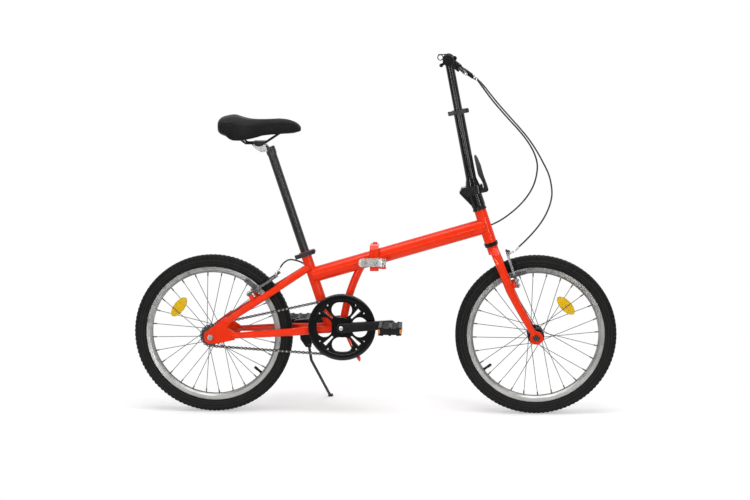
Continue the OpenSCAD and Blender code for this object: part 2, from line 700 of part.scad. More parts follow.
module frame_latch_lever() color(silver) translate([0, 0, latch_z - latch_h / 2 + swing_gap]) difference() {
    h = latch_h - 2 * swing_gap;
    union() {
        translate([latch_x, latch_y]) cylinder(r = latch_eye_r, h = h);
        linear_extrude(h) polygon([[latch_x, latch_y - 2], [latch_x, latch_y + latch_in],
            [-38, latch_y + latch_in], [-45, latch_y - 5], [-44, latch_y - 10], [-40, latch_y - 10],
            [-36, latch_y - 2]]);
    }
    translate([latch_x, latch_y, -cut]) cylinder(r = latch_pin_r + run_gap, h = h + 2 * cut);
}

// Headset, fork and stem base, all round the steering axis
cup_rim = 21.5;
module headset_cups() color(dark) steer() difference() {
    union() {
        translate([0, 0, fork_length]) cylinder(r1 = 20, r2 = cup_rim, h = cup_h);
        translate([0, 0, head_low]) cylinder(d = head_bore, h = 12);
        translate([0, 0, head_top]) cylinder(r1 = cup_rim, r2 = 19, h = cup_h);
        translate([0, 0, head_top - 12]) cylinder(d = head_bore, h = 13);
    }
    translate([0, 0, fork_length - cut]) cylinder(r = steerer_r + run_gap, h = head_l + 2 * cup_h + 2 * cut);
}
steerer_top = head_top + cup_h + 36;
module steerer_body() steer() translate([0, 0, fork_length - 20])
    cylinder(r = steerer_r, h = steerer_top - fork_length + 20);
module fork_steerer() color(silver) steerer_body();
// Left blade from crown to dropout: ahead of the steering axis, outwards and up it
blade_path = [[1, 6, 288], [2, 28, 287], [4, 43, 272], [6, 46, 250], [9, 47, 200], [11, 47.5, 160],
    [19, 49, 105], [30, 51, 47], [39, 52.5, 10]];
blade_radii = [12, 13, 13, 13, 13, 12.5, 10.5, 9.5, 9];
module fork_blades() color(paint) difference() {
    union() {
        steer() translate([0, 0, fork_length - 24]) cylinder(r = 17, h = 24 - swing_gap);
        both_sides() {
            swept_tube([for (p = blade_path) steer_at(p[0], p[2]) + [0, p[1], 0]], blade_radii, 16,
                [0.3, 0, 1]);
            translate(front_axle_at) side_plate(front_gap / 2, front_gap / 2 + dropout_t) circle(20);
            front_brake() brake_boss(front_boss_fore, -32);
        }
    }
    steerer_body();
    translate(front_axle_at) cross_rod(axle_r, -front_gap, front_gap);
    translate(front_axle_at) both_sides() {
        cross_rod(20.3, front_gap / 2 - 30, front_gap / 2);
        hex_nut(axle_r * 1.9, front_gap / 2 + dropout_t, front_gap);
    }
}

// Stem hinge: the plates meet square to the stem, and the pin lies across behind it
stem_pin_x = -35;
stem_knuckle_r = 7.5;
stem_half = 22;
middle_half = 9;
module stem_pin_bore(r) translate([stem_pin_x, 0, 0]) cross_rod(r, -stem_half - cut, stem_half + cut);
module stem_plate(from, to) translate([0, 0, from]) linear_extrude(to - from) {
    translate([-36, -stem_half]) square([48, 2 * stem_half]);
    translate([8, 0]) circle(stem_half);
}
stem_latch_x = 38;
stem_latch_z = -6;
module stem_base() color(black) {
    difference() {
        union() {
            steer() translate([0, 0, head_top + cup_h + swing_gap]) cylinder(r = 21, h = 43);
            stem() {
                stem_plate(-stem_plate_t, -swing_gap / 2);
                stem_pin_bore(stem_knuckle_r);
                side_plate(-10, 10) polygon([[-40, -8], [-4, -8], [-4, -50], [-12, -50]]);
                translate([stem_latch_x, 0, stem_latch_z]) both_sides()
                    cross_rod(6, middle_half, middle_half + 6);
                both_sides() translate([20, middle_half, -stem_plate_t]) cube([18, 6, 12]);
            }
        }
        steerer_body();
        stem() {
            translate([stem_pin_x, 0, 0]) cross_rod(stem_knuckle_r + swing_gap, -middle_half, middle_half);
            translate([-60, -40, -swing_gap / 2]) cube([60 + stem_pin_x - stem_knuckle_r - cut, 80, 20]);
        }
    }
    stem() {
        translate([stem_pin_x, 0, 0]) cross_rod(stem_pin_d / 2, -stem_half - 2, stem_half + 2);
        translate([stem_latch_x, 0, stem_latch_z]) cross_rod(latch_pin_r, -middle_half - 6, middle_half + 6);
    }
}
upper_r = upper_post_d / 2;
module stem_tube() color(black) stem() difference() {
    union() {
        stem_plate(swing_gap / 2, stem_plate_t);
        translate([stem_pin_x, 0, 0])
            cross_rod(stem_knuckle_r, -middle_half + swing_gap, middle_half - swing_gap);
        translate([0, 0, 1]) cylinder(d = stem_d, h = stem_l - 1);
        translate([0, 0, stem_plate_t - 1]) cylinder(r1 = stem_half, r2 = stem_d / 2, h = 24);
    }
    stem_pin_bore(stem_pin_d / 2 + run_gap);
    both_sides() translate([stem_pin_x, 0, 0])
        cross_rod(stem_knuckle_r + swing_gap, middle_half - swing_gap, 40);
    translate([0, 0, 10]) cylinder(r = upper_r + run_gap, h = stem_l);
}
module stem_latch_lever() color(black) stem() difference() {
    half = middle_half - swing_gap;
    union() {
        translate([stem_latch_x, 0, stem_latch_z]) cross_rod(7, -half, half);
        side_plate(-half, half)
            polygon([[31.5, -4], [45, -7], [44, 6], [38.5, 38], [36, 70], [30, 96], [26, 103], [22, 102],
                [20.4, 95], [21.8, 46], [23.4, 38], [27, 30], [30, 20], [31.5, 14]]);
    }
    translate([stem_latch_x, 0, stem_latch_z]) cross_rod(latch_pin_r + run_gap, -20, 20);
}
module post_clamp() color(dark) stem() translate([0, 0, stem_l - collar_h - 1])
    clamp_collar(stem_d / 2, collar_h);
module post_clamp_lever() color(dark) stem() translate([0, 0, stem_l - collar_h - 1])
    clamp_lever(stem_d / 2, collar_h);

// Handlebar on its post
bar_at = stem_foot + bar_height * flat_dir(stem_tilt + 90);
bar_r = bar_d / 2;
post_start = 125;
module upper_post() color(black) stem() difference() {
    union() {
        translate([0, 0, post_start]) cylinder(r = upper_r, h = bar_height - post_start);
        translate([0, 0, bar_height]) cross_rod(18, -24, 24);
        translate([18, 0, bar_height]) cross_rod(7, -24, 24);
    }
    translate([0, 0, bar_height]) cross_rod(bar_r, -30, 30);
    translate([0, 0, post_start - cut]) cylinder(r = upper_r - 2.5, h = bar_height - post_start - 30);
}
module handlebar() color(black) translate(bar_at) difference() {
    cross_rod(bar_r, -bar_half + 3, bar_half - 3);
    both_sides() cross_rod(bar_r - 2, 30, bar_half);
}
module grips() color(black) translate(bar_at) both_sides() difference() {
    cross_rod(grip_d / 2, bar_half - grip_l, bar_half);
    cross_rod(bar_r, 0, bar_half - 3);
}

// Brake levers, in a frame at the bar's centre whose local x droops ahead; given for the left side
module at_bar() translate(bar_at) rotate([0, lever_droop, 0]) children();
lever_x = 36;
lever_t = 8;
perch_to = bar_half - grip_l - 24;
perch_from = perch_to - 36;
lever_y = perch_to - 12;
module perch() {
    fork_h = 6;
    difference() {
        union() {
            cross_rod(bar_r + 5, perch_from, perch_to);
            translate([0, perch_from, -lever_t / 2 - fork_h])
                cube([lever_x, perch_to - perch_from, lever_t + 2 * fork_h]);
            translate([lever_x, lever_y, -lever_t / 2 - fork_h]) cylinder(r = 8, h = lever_t + 2 * fork_h);
        }
        cross_rod(bar_r, perch_from - cut, perch_to + cut);
        translate([lever_x, lever_y, -lever_t / 2 - swing_gap])
            cylinder(r = 10.5, h = lever_t + 2 * swing_gap);
        translate([lever_x - 7, lever_y - 2, -lever_t / 2 - swing_gap])
            cube([40, 40, lever_t + 2 * swing_gap]);
    }
    translate([lever_x, lever_y, -lever_t / 2 - fork_h]) cylinder(r = latch_pin_r, h = lever_t + 2 * fork_h);
    rod([14, perch_from + 6, 0], [62, perch_from + 1, 3], 5.5);
    rod([60, perch_from + 1, 3], [96, perch_from - 5, 5], 4);
}
module brake_perches() color(black) at_bar() both_sides() perch();
module brake_lever() {
    translate([lever_x, lever_y, -lever_t / 2]) difference() {
        union() {
            cylinder(r = 8, h = lever_t);
            linear_extrude(lever_t)
                polygon([[-6, 4], [6, -4], [20, 12], [26, 40], [25, 84], [28, 104], [22, 106], [17, 84],
                    [17, 42], [9, 20]]);
            translate([25, 105]) cylinder(r = 5, h = lever_t);
        }
        translate([0, 0, -cut]) cylinder(r = latch_pin_r + run_gap, h = lever_t + 2 * cut);
    }
}
module left_brake_lever() color(silver) at_bar() brake_lever();
module right_brake_lever() color(silver) at_bar() mirror([0, 1, 0]) brake_lever();

// Brake arms, in the frame of their brake and given for the left side
arm_l = 98;
arm_lean = 3;
pad_l = 50;
pad_h = 11;
pad_face = rim_w / 2 + pad_gap;
arm_top = boss_along + arm_l;
wire_r = 0.8;
module brake_arm(fore, pad_fore, pad_rise) {
    turn = atan2(pad_fore, pad_rise);
    difference() {
        translate([fore, 0, 0]) rotate([90, 0, 90]) linear_extrude(arm_t)
            translate([boss_out, boss_along]) rotate(90 + arm_lean) round_bar(arm_l, 9, 5);
        translate([fore - cut, boss_out, boss_along]) rotate([0, 90, 0])
            cylinder(r = boss_r + run_gap, h = arm_t + 2 * cut);
    }
    translate([pad_fore, 0, pad_rise]) rotate([0, turn, 0]) translate([-pad_l / 2, pad_face, -pad_h / 2])
        cube([pad_l, 9, pad_h]);
    translate([fore + arm_t / 2, 0, pad_rise + (pad_fore - fore - arm_t / 2) * tan(turn)]) {
        cross_rod(4, pad_face + 7, boss_out);
        cross_rod(7, pad_face + 8, boss_out - 10);
        cross_rod(6, boss_out + 4, boss_out + 11);
    }
}
// Bent pipe on the right arm's top, and the wire that it sends across ahead of the left arm
module noodle(fore, path) {
    wire_x = fore + arm_t + 1.6;
    inner = [wire_x, -26, arm_top];
    r = 3;
    swept_tube(concat([inner, inner + [0, -12, 0.5]], path), [for (i = [0:len(path) + 1]) r], 8, [0, 0, 1]);
    rod(inner + [0, -cut, 0], [wire_x, boss_out, arm_top], wire_r);
    translate([fore, -boss_out + 1, arm_top - 5]) cube([arm_t + 2, 9, 10]);
}
module front_left_brake_arm() color(dark) front_brake() brake_arm(front_boss_fore, 8, pad_along);
module front_right_brake_arm() color(dark) front_brake() {
    mirror([0, 1, 0]) brake_arm(front_boss_fore, 8, pad_along);
    noodle(front_boss_fore, [[10, -42, 270.5], [23.8, -39.4, 274.1], [34.6, -38.1, 279.25]]);
}
module rear_left_brake_arm() color(dark) rear_brake()
    brake_arm(rear_boss_fore, rear_pad_fore, rear_pad_along);
module rear_right_brake_arm() color(dark) rear_brake() {
    mirror([0, 1, 0]) brake_arm(rear_boss_fore, rear_pad_fore, rear_pad_along);
    noodle(rear_boss_fore, [[54, -45, 274], [58, -44, 284], [61.8, -38.6, 293]]);
}

// Wheels, round their own axle
bead_half = neck - run_gap;
flange_top = bed_r + flange_h;
module tyre() spun() difference() {
    union() {
        intersection() {
            translate([section_c, 0]) circle(section_r, $fn = 64);
            translate([flange_top + swing_gap, -section_r])
                square([wheel_r - flange_top - swing_gap, 2 * section_r]);
        }
        translate([bed_r, -bead_half]) square([section_c - bed_r, 2 * bead_half]);
    }
    intersection() {
        translate([section_c, 0]) circle(section_r - tyre_wall, $fn = 64);
        translate([flange_top + tyre_wall, -section_r]) square(2 * section_r);
    }
    translate([bed_r - cut, tyre_wall - bead_half]) square([section_c - bed_r, 2 * (bead_half - tyre_wall)]);
}
module rim(valve_turn) {
    half = rim_w / 2;
    spun() difference() {
        polygon([[rim_in, -7], [rim_in + 6, -half], [flange_top, -half], [flange_top, half],
            [rim_in + 6, half], [rim_in, 7]]);
        polygon([[rim_in + rim_wall, -6], [rim_in + 8, -neck], [flange_top + cut, -neck],
            [flange_top + cut, neck], [rim_in + 8, neck], [rim_in + rim_wall, 6]]);
    }
    rod(flat_dir(valve_turn) * (rim_in - 26), flat_dir(valve_turn) * (rim_in + 1), 3.2);
}
spoke_half = spoke_count / 2;
hole_r = hub_flange_d / 2 - 4;
// Spokes of one flange: they lean either way round the wheel and cross twice
module spoke_side(flange_y, shift) for (i = [0:spoke_half - 1]) {
    sign = i % 2 == 0 ? 1 : -1;
    hub_turn = shift + i * 360 / spoke_half;
    rim_turn = hub_turn + sign * 2 * 360 / spoke_half;
    inner = hole_r * flat_dir(hub_turn) + [0, flange_y + sign * 1.4, 0];
    outer = (rim_in + 1.5) * flat_dir(rim_turn) + [0, (flange_y > 0 ? 2.4 : -2.4) + sign * 1.4, 0];
    rod(inner, outer, spoke_d / 2);
    rod(outer + 13 * unit(inner - outer), outer, spoke_d);
}
module spokes(left_y, right_y, turn) rotate([0, -turn, 0]) {
    spoke_side(left_y, 0);
    spoke_side(right_y, 180 / spoke_half);
}
module hub(left_y, right_y, left_end, right_end) spun() difference() {
    t = hub_flange_t / 2;
    barrel = hub_barrel_d / 2;
    end_r = 10;
    polygon([[axle_r + run_gap, right_end], [end_r, right_end], [end_r, right_y - t - 4],
        [barrel, right_y - t], [hub_flange_d / 2, right_y - t], [hub_flange_d / 2, right_y + t],
        [barrel, right_y + t + 4], [barrel, left_y - t - 4], [hub_flange_d / 2, left_y - t],
        [hub_flange_d / 2, left_y + t], [barrel, left_y + t], [end_r, left_y + t + 4], [end_r, left_end],
        [axle_r + run_gap, left_end]]);
}
module reflector(turn, r, from, to) rotate([0, -turn, 0]) translate([r, 0, 0])
    side_plate(from, to) intersection() {
        square([reflector_h, reflector_l], center = true);
        translate([-r + reflector_h / 2 - 1, 0]) circle(r);
    }
front_flange = 29.5;
left_flange = 34;
right_flange = -22;
hub_end = front_gap / 2 - 3 - swing_gap;
rear_end = rear_inner - 3 - swing_gap;
module front_tyre() color(black) translate(front_axle_at) tyre();
module front_rim() color(silver) translate(front_axle_at) rim(215);
module front_spokes() color(silver) translate(front_axle_at) spokes(front_flange, -front_flange, 2.7);
module front_hub() color(silver) translate(front_axle_at)
    hub(front_flange, -front_flange, hub_end, -hub_end);
module front_reflector() color(amber) translate(front_axle_at) reflector(44.7, 128, -6.75, 7.35);
module rear_tyre() color(black) translate(rear_axle_at) tyre();
module rear_rim() color(silver) translate(rear_axle_at) rim(-40.6);
module rear_spokes() color(silver) translate(rear_axle_at) spokes(left_flange, right_flange, 4.1);
boss_rim = 17;
module rear_hub() color(silver) translate(rear_axle_at) {
    hub(left_flange, right_flange, rear_end, -rear_end);
    difference() {
        cross_rod(boss_rim, -48, right_flange);
        cross_rod(axle_r + run_gap, -50, 0);
    }
}
module rear_reflector() color(amber) translate(rear_axle_at) reflector(142.7, 134, -7.4, 6);

// Drive: the teeth stand where the chain's rollers lie
roller_r = 3.85;
valley_r = roller_r + swing_gap;
tooth_half = 1.3;
module toothed(r, teeth, first, flare) difference() {
    circle(r + 2.4, $fn = 96);
    for (j = [0:teeth - 1]) rotate(first - j * 360 / teeth) translate([r, 0]) {
        circle(valley_r, $fn = 24);
        polygon([[0, -valley_r], [5, -valley_r - flare], [5, valley_r + flare], [0, valley_r]]);
    }
}
module rear_sprocket() color(dark) translate(rear_axle_at) {
    bore = boss_rim + run_gap;
    side_plate(-chain_line - tooth_half, -chain_line + tooth_half) difference() {
        toothed(sprocket_r, sprocket_teeth, low_turn + lead_in * 360 / sprocket_teeth, 2.2);
        circle(bore);
    }
    side_plate(-47, -37) difference() {
        circle(25);
        circle(bore);
    }
}
ring_inner = 78;
module chainring() color(dark) translate(bb)
    side_plate(-chain_line - tooth_half, tooth_half - chain_line) difference() {
    toothed(ring_r, ring_teeth, top_turn, 1.2);
    circle(ring_inner, $fn = 96);
}
// Outline of the chain's loop, wider or narrower than its pitch line: the runs start just inside the circles
chain_tuck = 0.02;
module chain_loop(more) {
    translate([bb.x, bb.z]) circle(ring_r + more, $fn = 96);
    translate([rear_axle_at.x, rear_axle_at.z]) circle(sprocket_r + more);
    corners = [[bb, ring_r, top_turn], [rear_axle_at, sprocket_r, top_turn],
        [rear_axle_at, sprocket_r, low_turn], [bb, ring_r, low_turn]];
    polygon([for (p = corners) let (q = p[0] + (p[1] + more - chain_tuck) * flat_dir(p[2])) [q.x, q.z]]);
}
chain_wrap = ring_wrap(stay_l);
chain_run = run_links(stay_l);
chain_back = chain_wrap + chain_run + sprocket_wrap(stay_l);
ring_low = bb + ring_r * flat_dir(low_turn);
sprocket_low = rear_axle_at + sprocket_r * flat_dir(low_turn);
sprocket_high = rear_axle_at + sprocket_r * flat_dir(top_turn);
ring_high = bb + ring_r * flat_dir(top_turn);
function chain_point(k) =
    k <= chain_wrap ? bb + ring_r * flat_dir(top_turn - k * 360 / ring_teeth)
    : k <= lead_in ? ring_low + (sprocket_low - ring_low) * (k - chain_wrap) / chain_run
    : k <= chain_back ? rear_axle_at + sprocket_r * flat_dir(low_turn - (k - lead_in) * 360 / sprocket_teeth)
    : sprocket_high + (ring_high - sprocket_high) * (k - chain_back) / chain_run;
module chain() color(dark) {
    plate_h = 4.2;
    for (y = [-3.4, 1.9]) side_plate(y - chain_line, y - chain_line + 1.5) difference() {
        chain_loop(plate_h);
        chain_loop(-plate_h);
    }
    for (k = [0:chain_links - 1]) translate(chain_point(k))
        cross_rod(roller_r, -chain_line - 2, -chain_line + 2, $fn = 20);
}
guard_y = 49;
guard_t = 4;
window_lag = 5.5;
window_at = 54;
window_r = 23;
window_side = 8;
hub_r = 15;
module chain_guard() color(black) translate(bb) {
    side_plate(-guard_y - guard_t, -guard_y) difference() {
        circle(d = guard_d, $fn = 96);
        circle(hub_r);
        for (turn = [0:90:270]) rotate(turn + crank_angle - window_lag) {
            for (side = [-1, 1]) translate([window_at, side * window_side]) circle(window_r);
            translate([window_at - window_r, -window_side]) square([2 * window_r, 2 * window_side]);
            rotate(45) polygon([[40, -2.5], [76, -5], [76, 5], [40, 2.5]]);
        }
    }
    for (turn = [22.5:45:360]) rotate([0, -turn, 0]) translate([82, 0, 0])
        cross_rod(2.5, -guard_y, -chain_line - tooth_half);
}
// Cranks, turned by the angle of the right one
spindle_r = spindle_d / 2;
pin_r = pedal_pin_d / 2;
arm_end = 82;
pedal_from = 97;
module at_crank(side) translate(bb) rotate([0, -crank_angle, 0]) rotate([0, 0, side > 0 ? 180 : 0])
    children();
module crank_arm(hub_from) {
    difference() {
        union() {
            hull() {
                cross_rod(hub_r, -70, -57, $fn = 32);
                translate([crank_l, 0, 0]) cross_rod(12, -arm_end, -arm_end + 13, $fn = 32);
            }
            cross_rod(hub_r, -70, -hub_from);
        }
        cross_rod(spindle_r, -67, 0);
    }
    translate([crank_l, 0, 0]) {
        cross_rod(8, -arm_end - 4, -arm_end + 1);
        cross_rod(pin_r, -pedal_from - pedal_w + 6, -arm_end);
    }
}
module crank_arms() color(black) {
    at_crank(-1) crank_arm(45);
    at_crank(1) crank_arm(45);
}
module crank_spindle() color(silver) translate(bb) cross_rod(spindle_r, -67, 67);
module pedal() {
    bar = 9;
    plate = 7;
    half = pedal_l / 2;
    difference() {
        union() {
            cross_rod(11, -pedal_from - pedal_w, -pedal_from);
            for (x = [-half, half - bar]) translate([x, -pedal_from - pedal_w, -pedal_t / 2 + 1])
                cube([bar, pedal_w, pedal_t - 2]);
            for (y = [-pedal_from - pedal_w, -pedal_from - plate]) translate([-half, y, -pedal_t / 2 + 3])
                cube([pedal_l, plate, pedal_t - 6]);
            for (y = [-pedal_from - 34, -pedal_from - 62]) translate([-half + 2, y, -5])
                cube([pedal_l - 4, 6, 10]);
        }
        cross_rod(pin_r + run_gap, -pedal_from - pedal_w + 4, 0);
    }
}
module right_pedal() color(black) translate(bb + crank_l * flat_dir(crank_angle)) pedal();
module left_pedal() color(black) translate(bb - crank_l * flat_dir(crank_angle)) mirror([0, 1, 0]) pedal();

// Brake cords: each end moves with the piece that holds it, and the points between two marks share that out
function tied(path, first, last, from, to) = [for (i = [0:len(path) - 1])
    let (share = min(1, max(0, i - from) / (to - from))) path[i] + (1 - share) * first + share * last];
hinge_shift = hinge_at - [4, 0, 482];
function bar_shift(side) = bar_at - [228.708875, 0, 1079.273006] + side * [0, perch_from - 112, 0];
module front_brake_cable() color(black)
    cord(tied(front_cord, bar_shift(1), front_axle_at - [495, 0, 245], 0, 5));
module rear_brake_cable_front() color(black) cord(tied(rear_cord_front, bar_shift(-1), hinge_shift, 0, 5));
module rear_brake_cable_middle() color(black) cord(tied(rear_cord_middle, hinge_shift, hinge_shift, 0, 1));
module rear_brake_cable_rear() color(black)
    cord(tied(rear_cord_rear, hinge_shift, rear_axle_at - [-495, 0, 245], 7, 18), [0, 0.3, 1]);

seat_tube();
rear_main_tube();
strut_tube();
chainstays();
seatstays();
bottom_bracket_shell();
seat_clamp();
frame_hinge_pin();
rear_axle();
bottom_bracket_cups();
rear_brake_cable_rear();
chain();
seat_clamp_lever();
seat_post();
saddle_clamp();
saddle_rails();
saddle_base();
saddle_cover();
front_frame_tube();
headset_cups();
rear_brake_cable_middle();
frame_latch_lever();
fork_steerer();
fork_blades();
front_axle();
stem_base();
stem_tube();
post_clamp();
stem_latch_lever();
post_clamp_lever();
upper_post();
handlebar();
grips();
brake_perches();
front_brake_cable();
rear_brake_cable_front();
right_brake_lever();
left_brake_lever();
front_right_brake_arm();
front_left_brake_arm();
rear_right_brake_arm();
rear_left_brake_arm();
front_tyre();
front_rim();
front_spokes();
front_hub();
front_reflector();
rear_tyre();
rear_rim();
rear_spokes();
rear_hub();
rear_reflector();
rear_sprocket();
chainring();
chain_guard();
crank_arms();
crank_spindle();
right_pedal();
left_pedal();
kickstand();
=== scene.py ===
# %% [markdown]
# # A folding bicycle, dressed for its picture
# The solids of this bicycle are already made and packed: tubes, hinges, wheels and levers, each riding on a named
# body. This lesson loads them as a fixed frame and gives them what a plain solid lacks: paint, rubber with a tread,
# links in the chain, ribs on the grips and a stuffed saddle. Everything is in metres, in the frame of the solids,
# so a piece goes where the drawing says, with no fitting by eye.

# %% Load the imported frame
import math

import bpy
import numpy as np
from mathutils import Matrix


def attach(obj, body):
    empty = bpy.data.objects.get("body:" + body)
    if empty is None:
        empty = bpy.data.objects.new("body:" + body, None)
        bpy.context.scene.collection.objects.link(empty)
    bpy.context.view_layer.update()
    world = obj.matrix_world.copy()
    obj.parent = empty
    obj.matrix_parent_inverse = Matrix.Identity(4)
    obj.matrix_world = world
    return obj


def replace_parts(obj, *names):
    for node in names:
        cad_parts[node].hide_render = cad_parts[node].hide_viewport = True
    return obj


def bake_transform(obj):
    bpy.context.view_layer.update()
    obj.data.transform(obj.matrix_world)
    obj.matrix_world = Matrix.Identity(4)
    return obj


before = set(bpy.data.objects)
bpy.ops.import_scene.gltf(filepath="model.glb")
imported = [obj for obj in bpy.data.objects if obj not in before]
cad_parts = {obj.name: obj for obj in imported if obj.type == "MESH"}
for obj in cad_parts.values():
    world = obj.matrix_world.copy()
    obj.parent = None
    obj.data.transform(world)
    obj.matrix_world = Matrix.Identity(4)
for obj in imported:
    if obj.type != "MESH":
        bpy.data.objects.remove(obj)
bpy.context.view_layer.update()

# %% [markdown]
# ## From arrays to meshes
# Every new piece is a grid of points worked out at once: a ring of points, carried along a path or round an axle.
# One could model by hand with extrusions instead, but then a change of size would mean modelling again. Four small
# tools turn a grid into faces and put it into the scene. A shell must face outwards, so the signed volume of its
# faces is added up, and the faces are turned round when that sum is negative.

# %% Grids, shells and pieces
MM = 0.001
scene = bpy.context.scene


def shell(grid, loop=False):
    """Points and faces of a grid whose rows are rings: quads join each ring to the next, a loop joins the last
    to the first, and otherwise one flat face closes each end."""
    rows, columns = grid.shape[:2]
    row = np.arange(rows if loop else rows - 1)[:, None]
    column = np.arange(columns)[None, :]
    below, right = (row + 1) % rows, (column + 1) % columns
    quads = np.stack([row * columns + column, row * columns + right, below * columns + right,
                      below * columns + column], -1).reshape(-1, 4)
    ends = [np.arange(columns)[None, ::-1], (rows - 1) * columns + np.arange(columns)[None, :]]
    return grid.reshape(-1, 3), [quads] if loop else [quads, *ends]


def outward(points, faces):
    """Six times the volume is the sum over triangles of a . (b x c); below zero the shell is inside out."""
    total = sum(np.einsum("ij,ij->", points[f[:, 0]], np.cross(points[f[:, k]], points[f[:, k + 1]]))
                for f in faces for k in range(1, f.shape[1] - 1))
    return faces if total >= 0 else [f[:, ::-1] for f in faces]


def mesh_of(name, made):
    """A shell as a mesh that faces outwards."""
    points, faces = made
    mesh = bpy.data.meshes.new(name)
    mesh.from_pydata(points.tolist(), [], [row for f in outward(points, faces) for row in f.tolist()])
    return mesh


def put(name, made, body, look, crease=40, bevel=0.0, replaces=()):
    """A shell as an object at the origin that rides on a body, smooth where faces meet below the crease angle."""
    mesh = mesh_of(name, made)
    mesh.shade_smooth()
    mesh.set_sharp_from_angle(angle=math.radians(crease))
    mesh.materials.append(look)
    piece = bpy.data.objects.new(name, mesh)
    scene.collection.objects.link(piece)
    if bevel:
        edge = piece.modifiers.new("rounded edge", "BEVEL")
        edge.width, edge.segments, edge.limit_method, edge.angle_limit = bevel, 2, "ANGLE", math.radians(35)
    if body:
        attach(piece, body)
    if replaces:
        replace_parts(piece, *replaces)
    print(name, len(mesh.vertices), "points on", body)
    return piece


print("pieces are made in metres, from drawings in units of", MM)

# %% [markdown]
# ## The camera
# The picture was taken from the chain side, from about hip height and a little ahead of the middle. It could be
# framed by eye, but then nothing would lie over the picture. So the outlines of both tyres and the ends of both axles
# and of the handlebar were matched to their places in it, which gives the camera's place, its turn and its lens. The
# arrows right, up and back are the columns of the camera's matrix.

# %% Camera
CAMERA_AT = [0.240, -4.206, 1.127]
CAMERA_TURN = [3.19, -8.40, -0.36]
SENSOR, LENS = 36.0, 67.06


def place_camera():
    """Forwards is turned by yaw and pitch, both in degrees, then right and up are rolled about it."""
    yaw, pitch, roll = np.radians(CAMERA_TURN)
    ahead = np.array([-np.sin(yaw) * np.cos(pitch), np.cos(yaw) * np.cos(pitch), np.sin(pitch)])
    level = np.array([np.cos(yaw), np.sin(yaw), 0])
    above = np.cross(level, ahead)
    right = np.cos(roll) * level + np.sin(roll) * above
    matrix = np.eye(4)
    matrix[:3, :3] = np.stack([right, np.cross(right, ahead), -ahead], -1)
    matrix[:3, 3] = CAMERA_AT
    data = bpy.data.cameras.new("photo camera")
    data.sensor_width, data.lens = SENSOR, LENS
    camera = bpy.data.objects.new("photo camera", data)
    camera.matrix_world = matrix.T
    scene.collection.objects.link(camera)
    scene.camera = camera
    print("camera at", matrix[:3, 3], "lens", data.lens)


place_camera()

# %% [markdown]
# ## Nodes for finishes
# A real finish is never one colour. Paint has a skin like an orange's, alloy has the marks of the lathe, rubber is
# dusty. Pictures of materials could be wrapped round the pieces, but they stretch and have seams. Noise worked out
# from the place in space has none, so each finish below is a small tree of nodes that reads Object coordinates.

# %% A node and its links
def add(tree, kind, inputs=None, **settings):
    """A shader node. An input given as a socket is linked, and any other value is set on the node's own socket."""
    made = tree.nodes.new("ShaderNode" + kind)
    for key, value in settings.items():
        setattr(made, key, value)
    for key, value in (inputs or {}).items():
        if isinstance(value, bpy.types.NodeSocket):
            tree.links.new(value, made.inputs[key])
        else:
            made.inputs[key].default_value = value
    return made


def sums(tree, operation, *values):
    """One step of arithmetic on one to three values or sockets."""
    return add(tree, "Math", dict(enumerate(values)), operation=operation).outputs[0]


# %% Colour, gloss and relief
def mottled(tree, where, grain, first, second, low=0.35, high=0.65):
    """A colour that wanders between two by a soft noise."""
    cloud = add(tree, "TexNoise", {"Vector": where, "Scale": grain, "Detail": 4.0})
    ramp = add(tree, "ValToRGB", {"Fac": cloud.outputs[0]})
    ramp.color_ramp.elements[0].position, ramp.color_ramp.elements[1].position = low, high
    ramp.color_ramp.elements[0].color, ramp.color_ramp.elements[1].color = (*first, 1), (*second, 1)
    return ramp.outputs[0]


def ranged(tree, value, low, high, start=0.3, stop=0.7):
    """A value between start and stop brought to between low and high."""
    return add(tree, "MapRange", {"Value": value, "From Min": start, "From Max": stop, "To Min": low,
                                  "To Max": high}).outputs[0]


def roughened(tree, shader, where, grain, rough, relief, depth, distance=0.0006):
    """Gloss that wanders with one noise, and small relief from a finer one, unless the coat is smooth."""
    smear = add(tree, "TexNoise", {"Vector": where, "Scale": grain, "Detail": 5.0})
    tree.links.new(ranged(tree, smear.outputs[0], *rough), shader.inputs["Roughness"])
    if depth:
        fine = add(tree, "TexNoise", {"Vector": where, "Scale": relief, "Detail": 2.0})
        bump = add(tree, "Bump", {"Height": fine.outputs[0], "Strength": depth, "Distance": distance})
        tree.links.new(bump.outputs[0], shader.inputs["Normal"])


# %% A whole finish
def start_finish(name, metal=0.0, coat=0.0, coat_rough=0.06, shine=0.3, sheen=0.0):
    """A material with its shader, whose even values sit on the shader's own sockets, and Object coordinates."""
    look = bpy.data.materials.new(name)
    look.use_nodes = True
    tree = look.node_tree
    shader = tree.nodes["Principled BSDF"]
    for socket, value in (("Metallic", metal), ("Coat Weight", coat), ("Coat Roughness", coat_rough),
                          ("Specular IOR Level", shine), ("Sheen Weight", sheen)):
        shader.inputs[socket].default_value = value
    return look, tree, shader, add(tree, "TexCoord").outputs["Object"]


def finish(name, first, second, grain=30.0, rough=(0.3, 0.4), relief=700.0, depth=0.1, stretch=(1, 1, 1),
           turn=(0, 0, 0), **even):
    """Colour from a slow noise, gloss from a quicker one and small relief from a fine one, stretched along a grain."""
    look, tree, shader, place = start_finish(name, **even)
    where = add(tree, "Mapping", {"Vector": place, "Scale": stretch, "Rotation": turn}).outputs[0]
    tree.links.new(mottled(tree, where, grain, first, second), shader.inputs["Base Color"])
    roughened(tree, shader, where, grain * 3, rough, relief, depth)
    return look


# %% [markdown]
# ## Paints, metals, rubbers and plastics
# The frame is sprayed in an orange red and lacquered, so it has a clear coat over a slightly uneven colour. The stem
# is a deep gloss black, the seat post a dull dark grey, the small parts plain alloy and steel. Colours are written
# as the light they throw back, and the lamps are set so that they come out about as written.

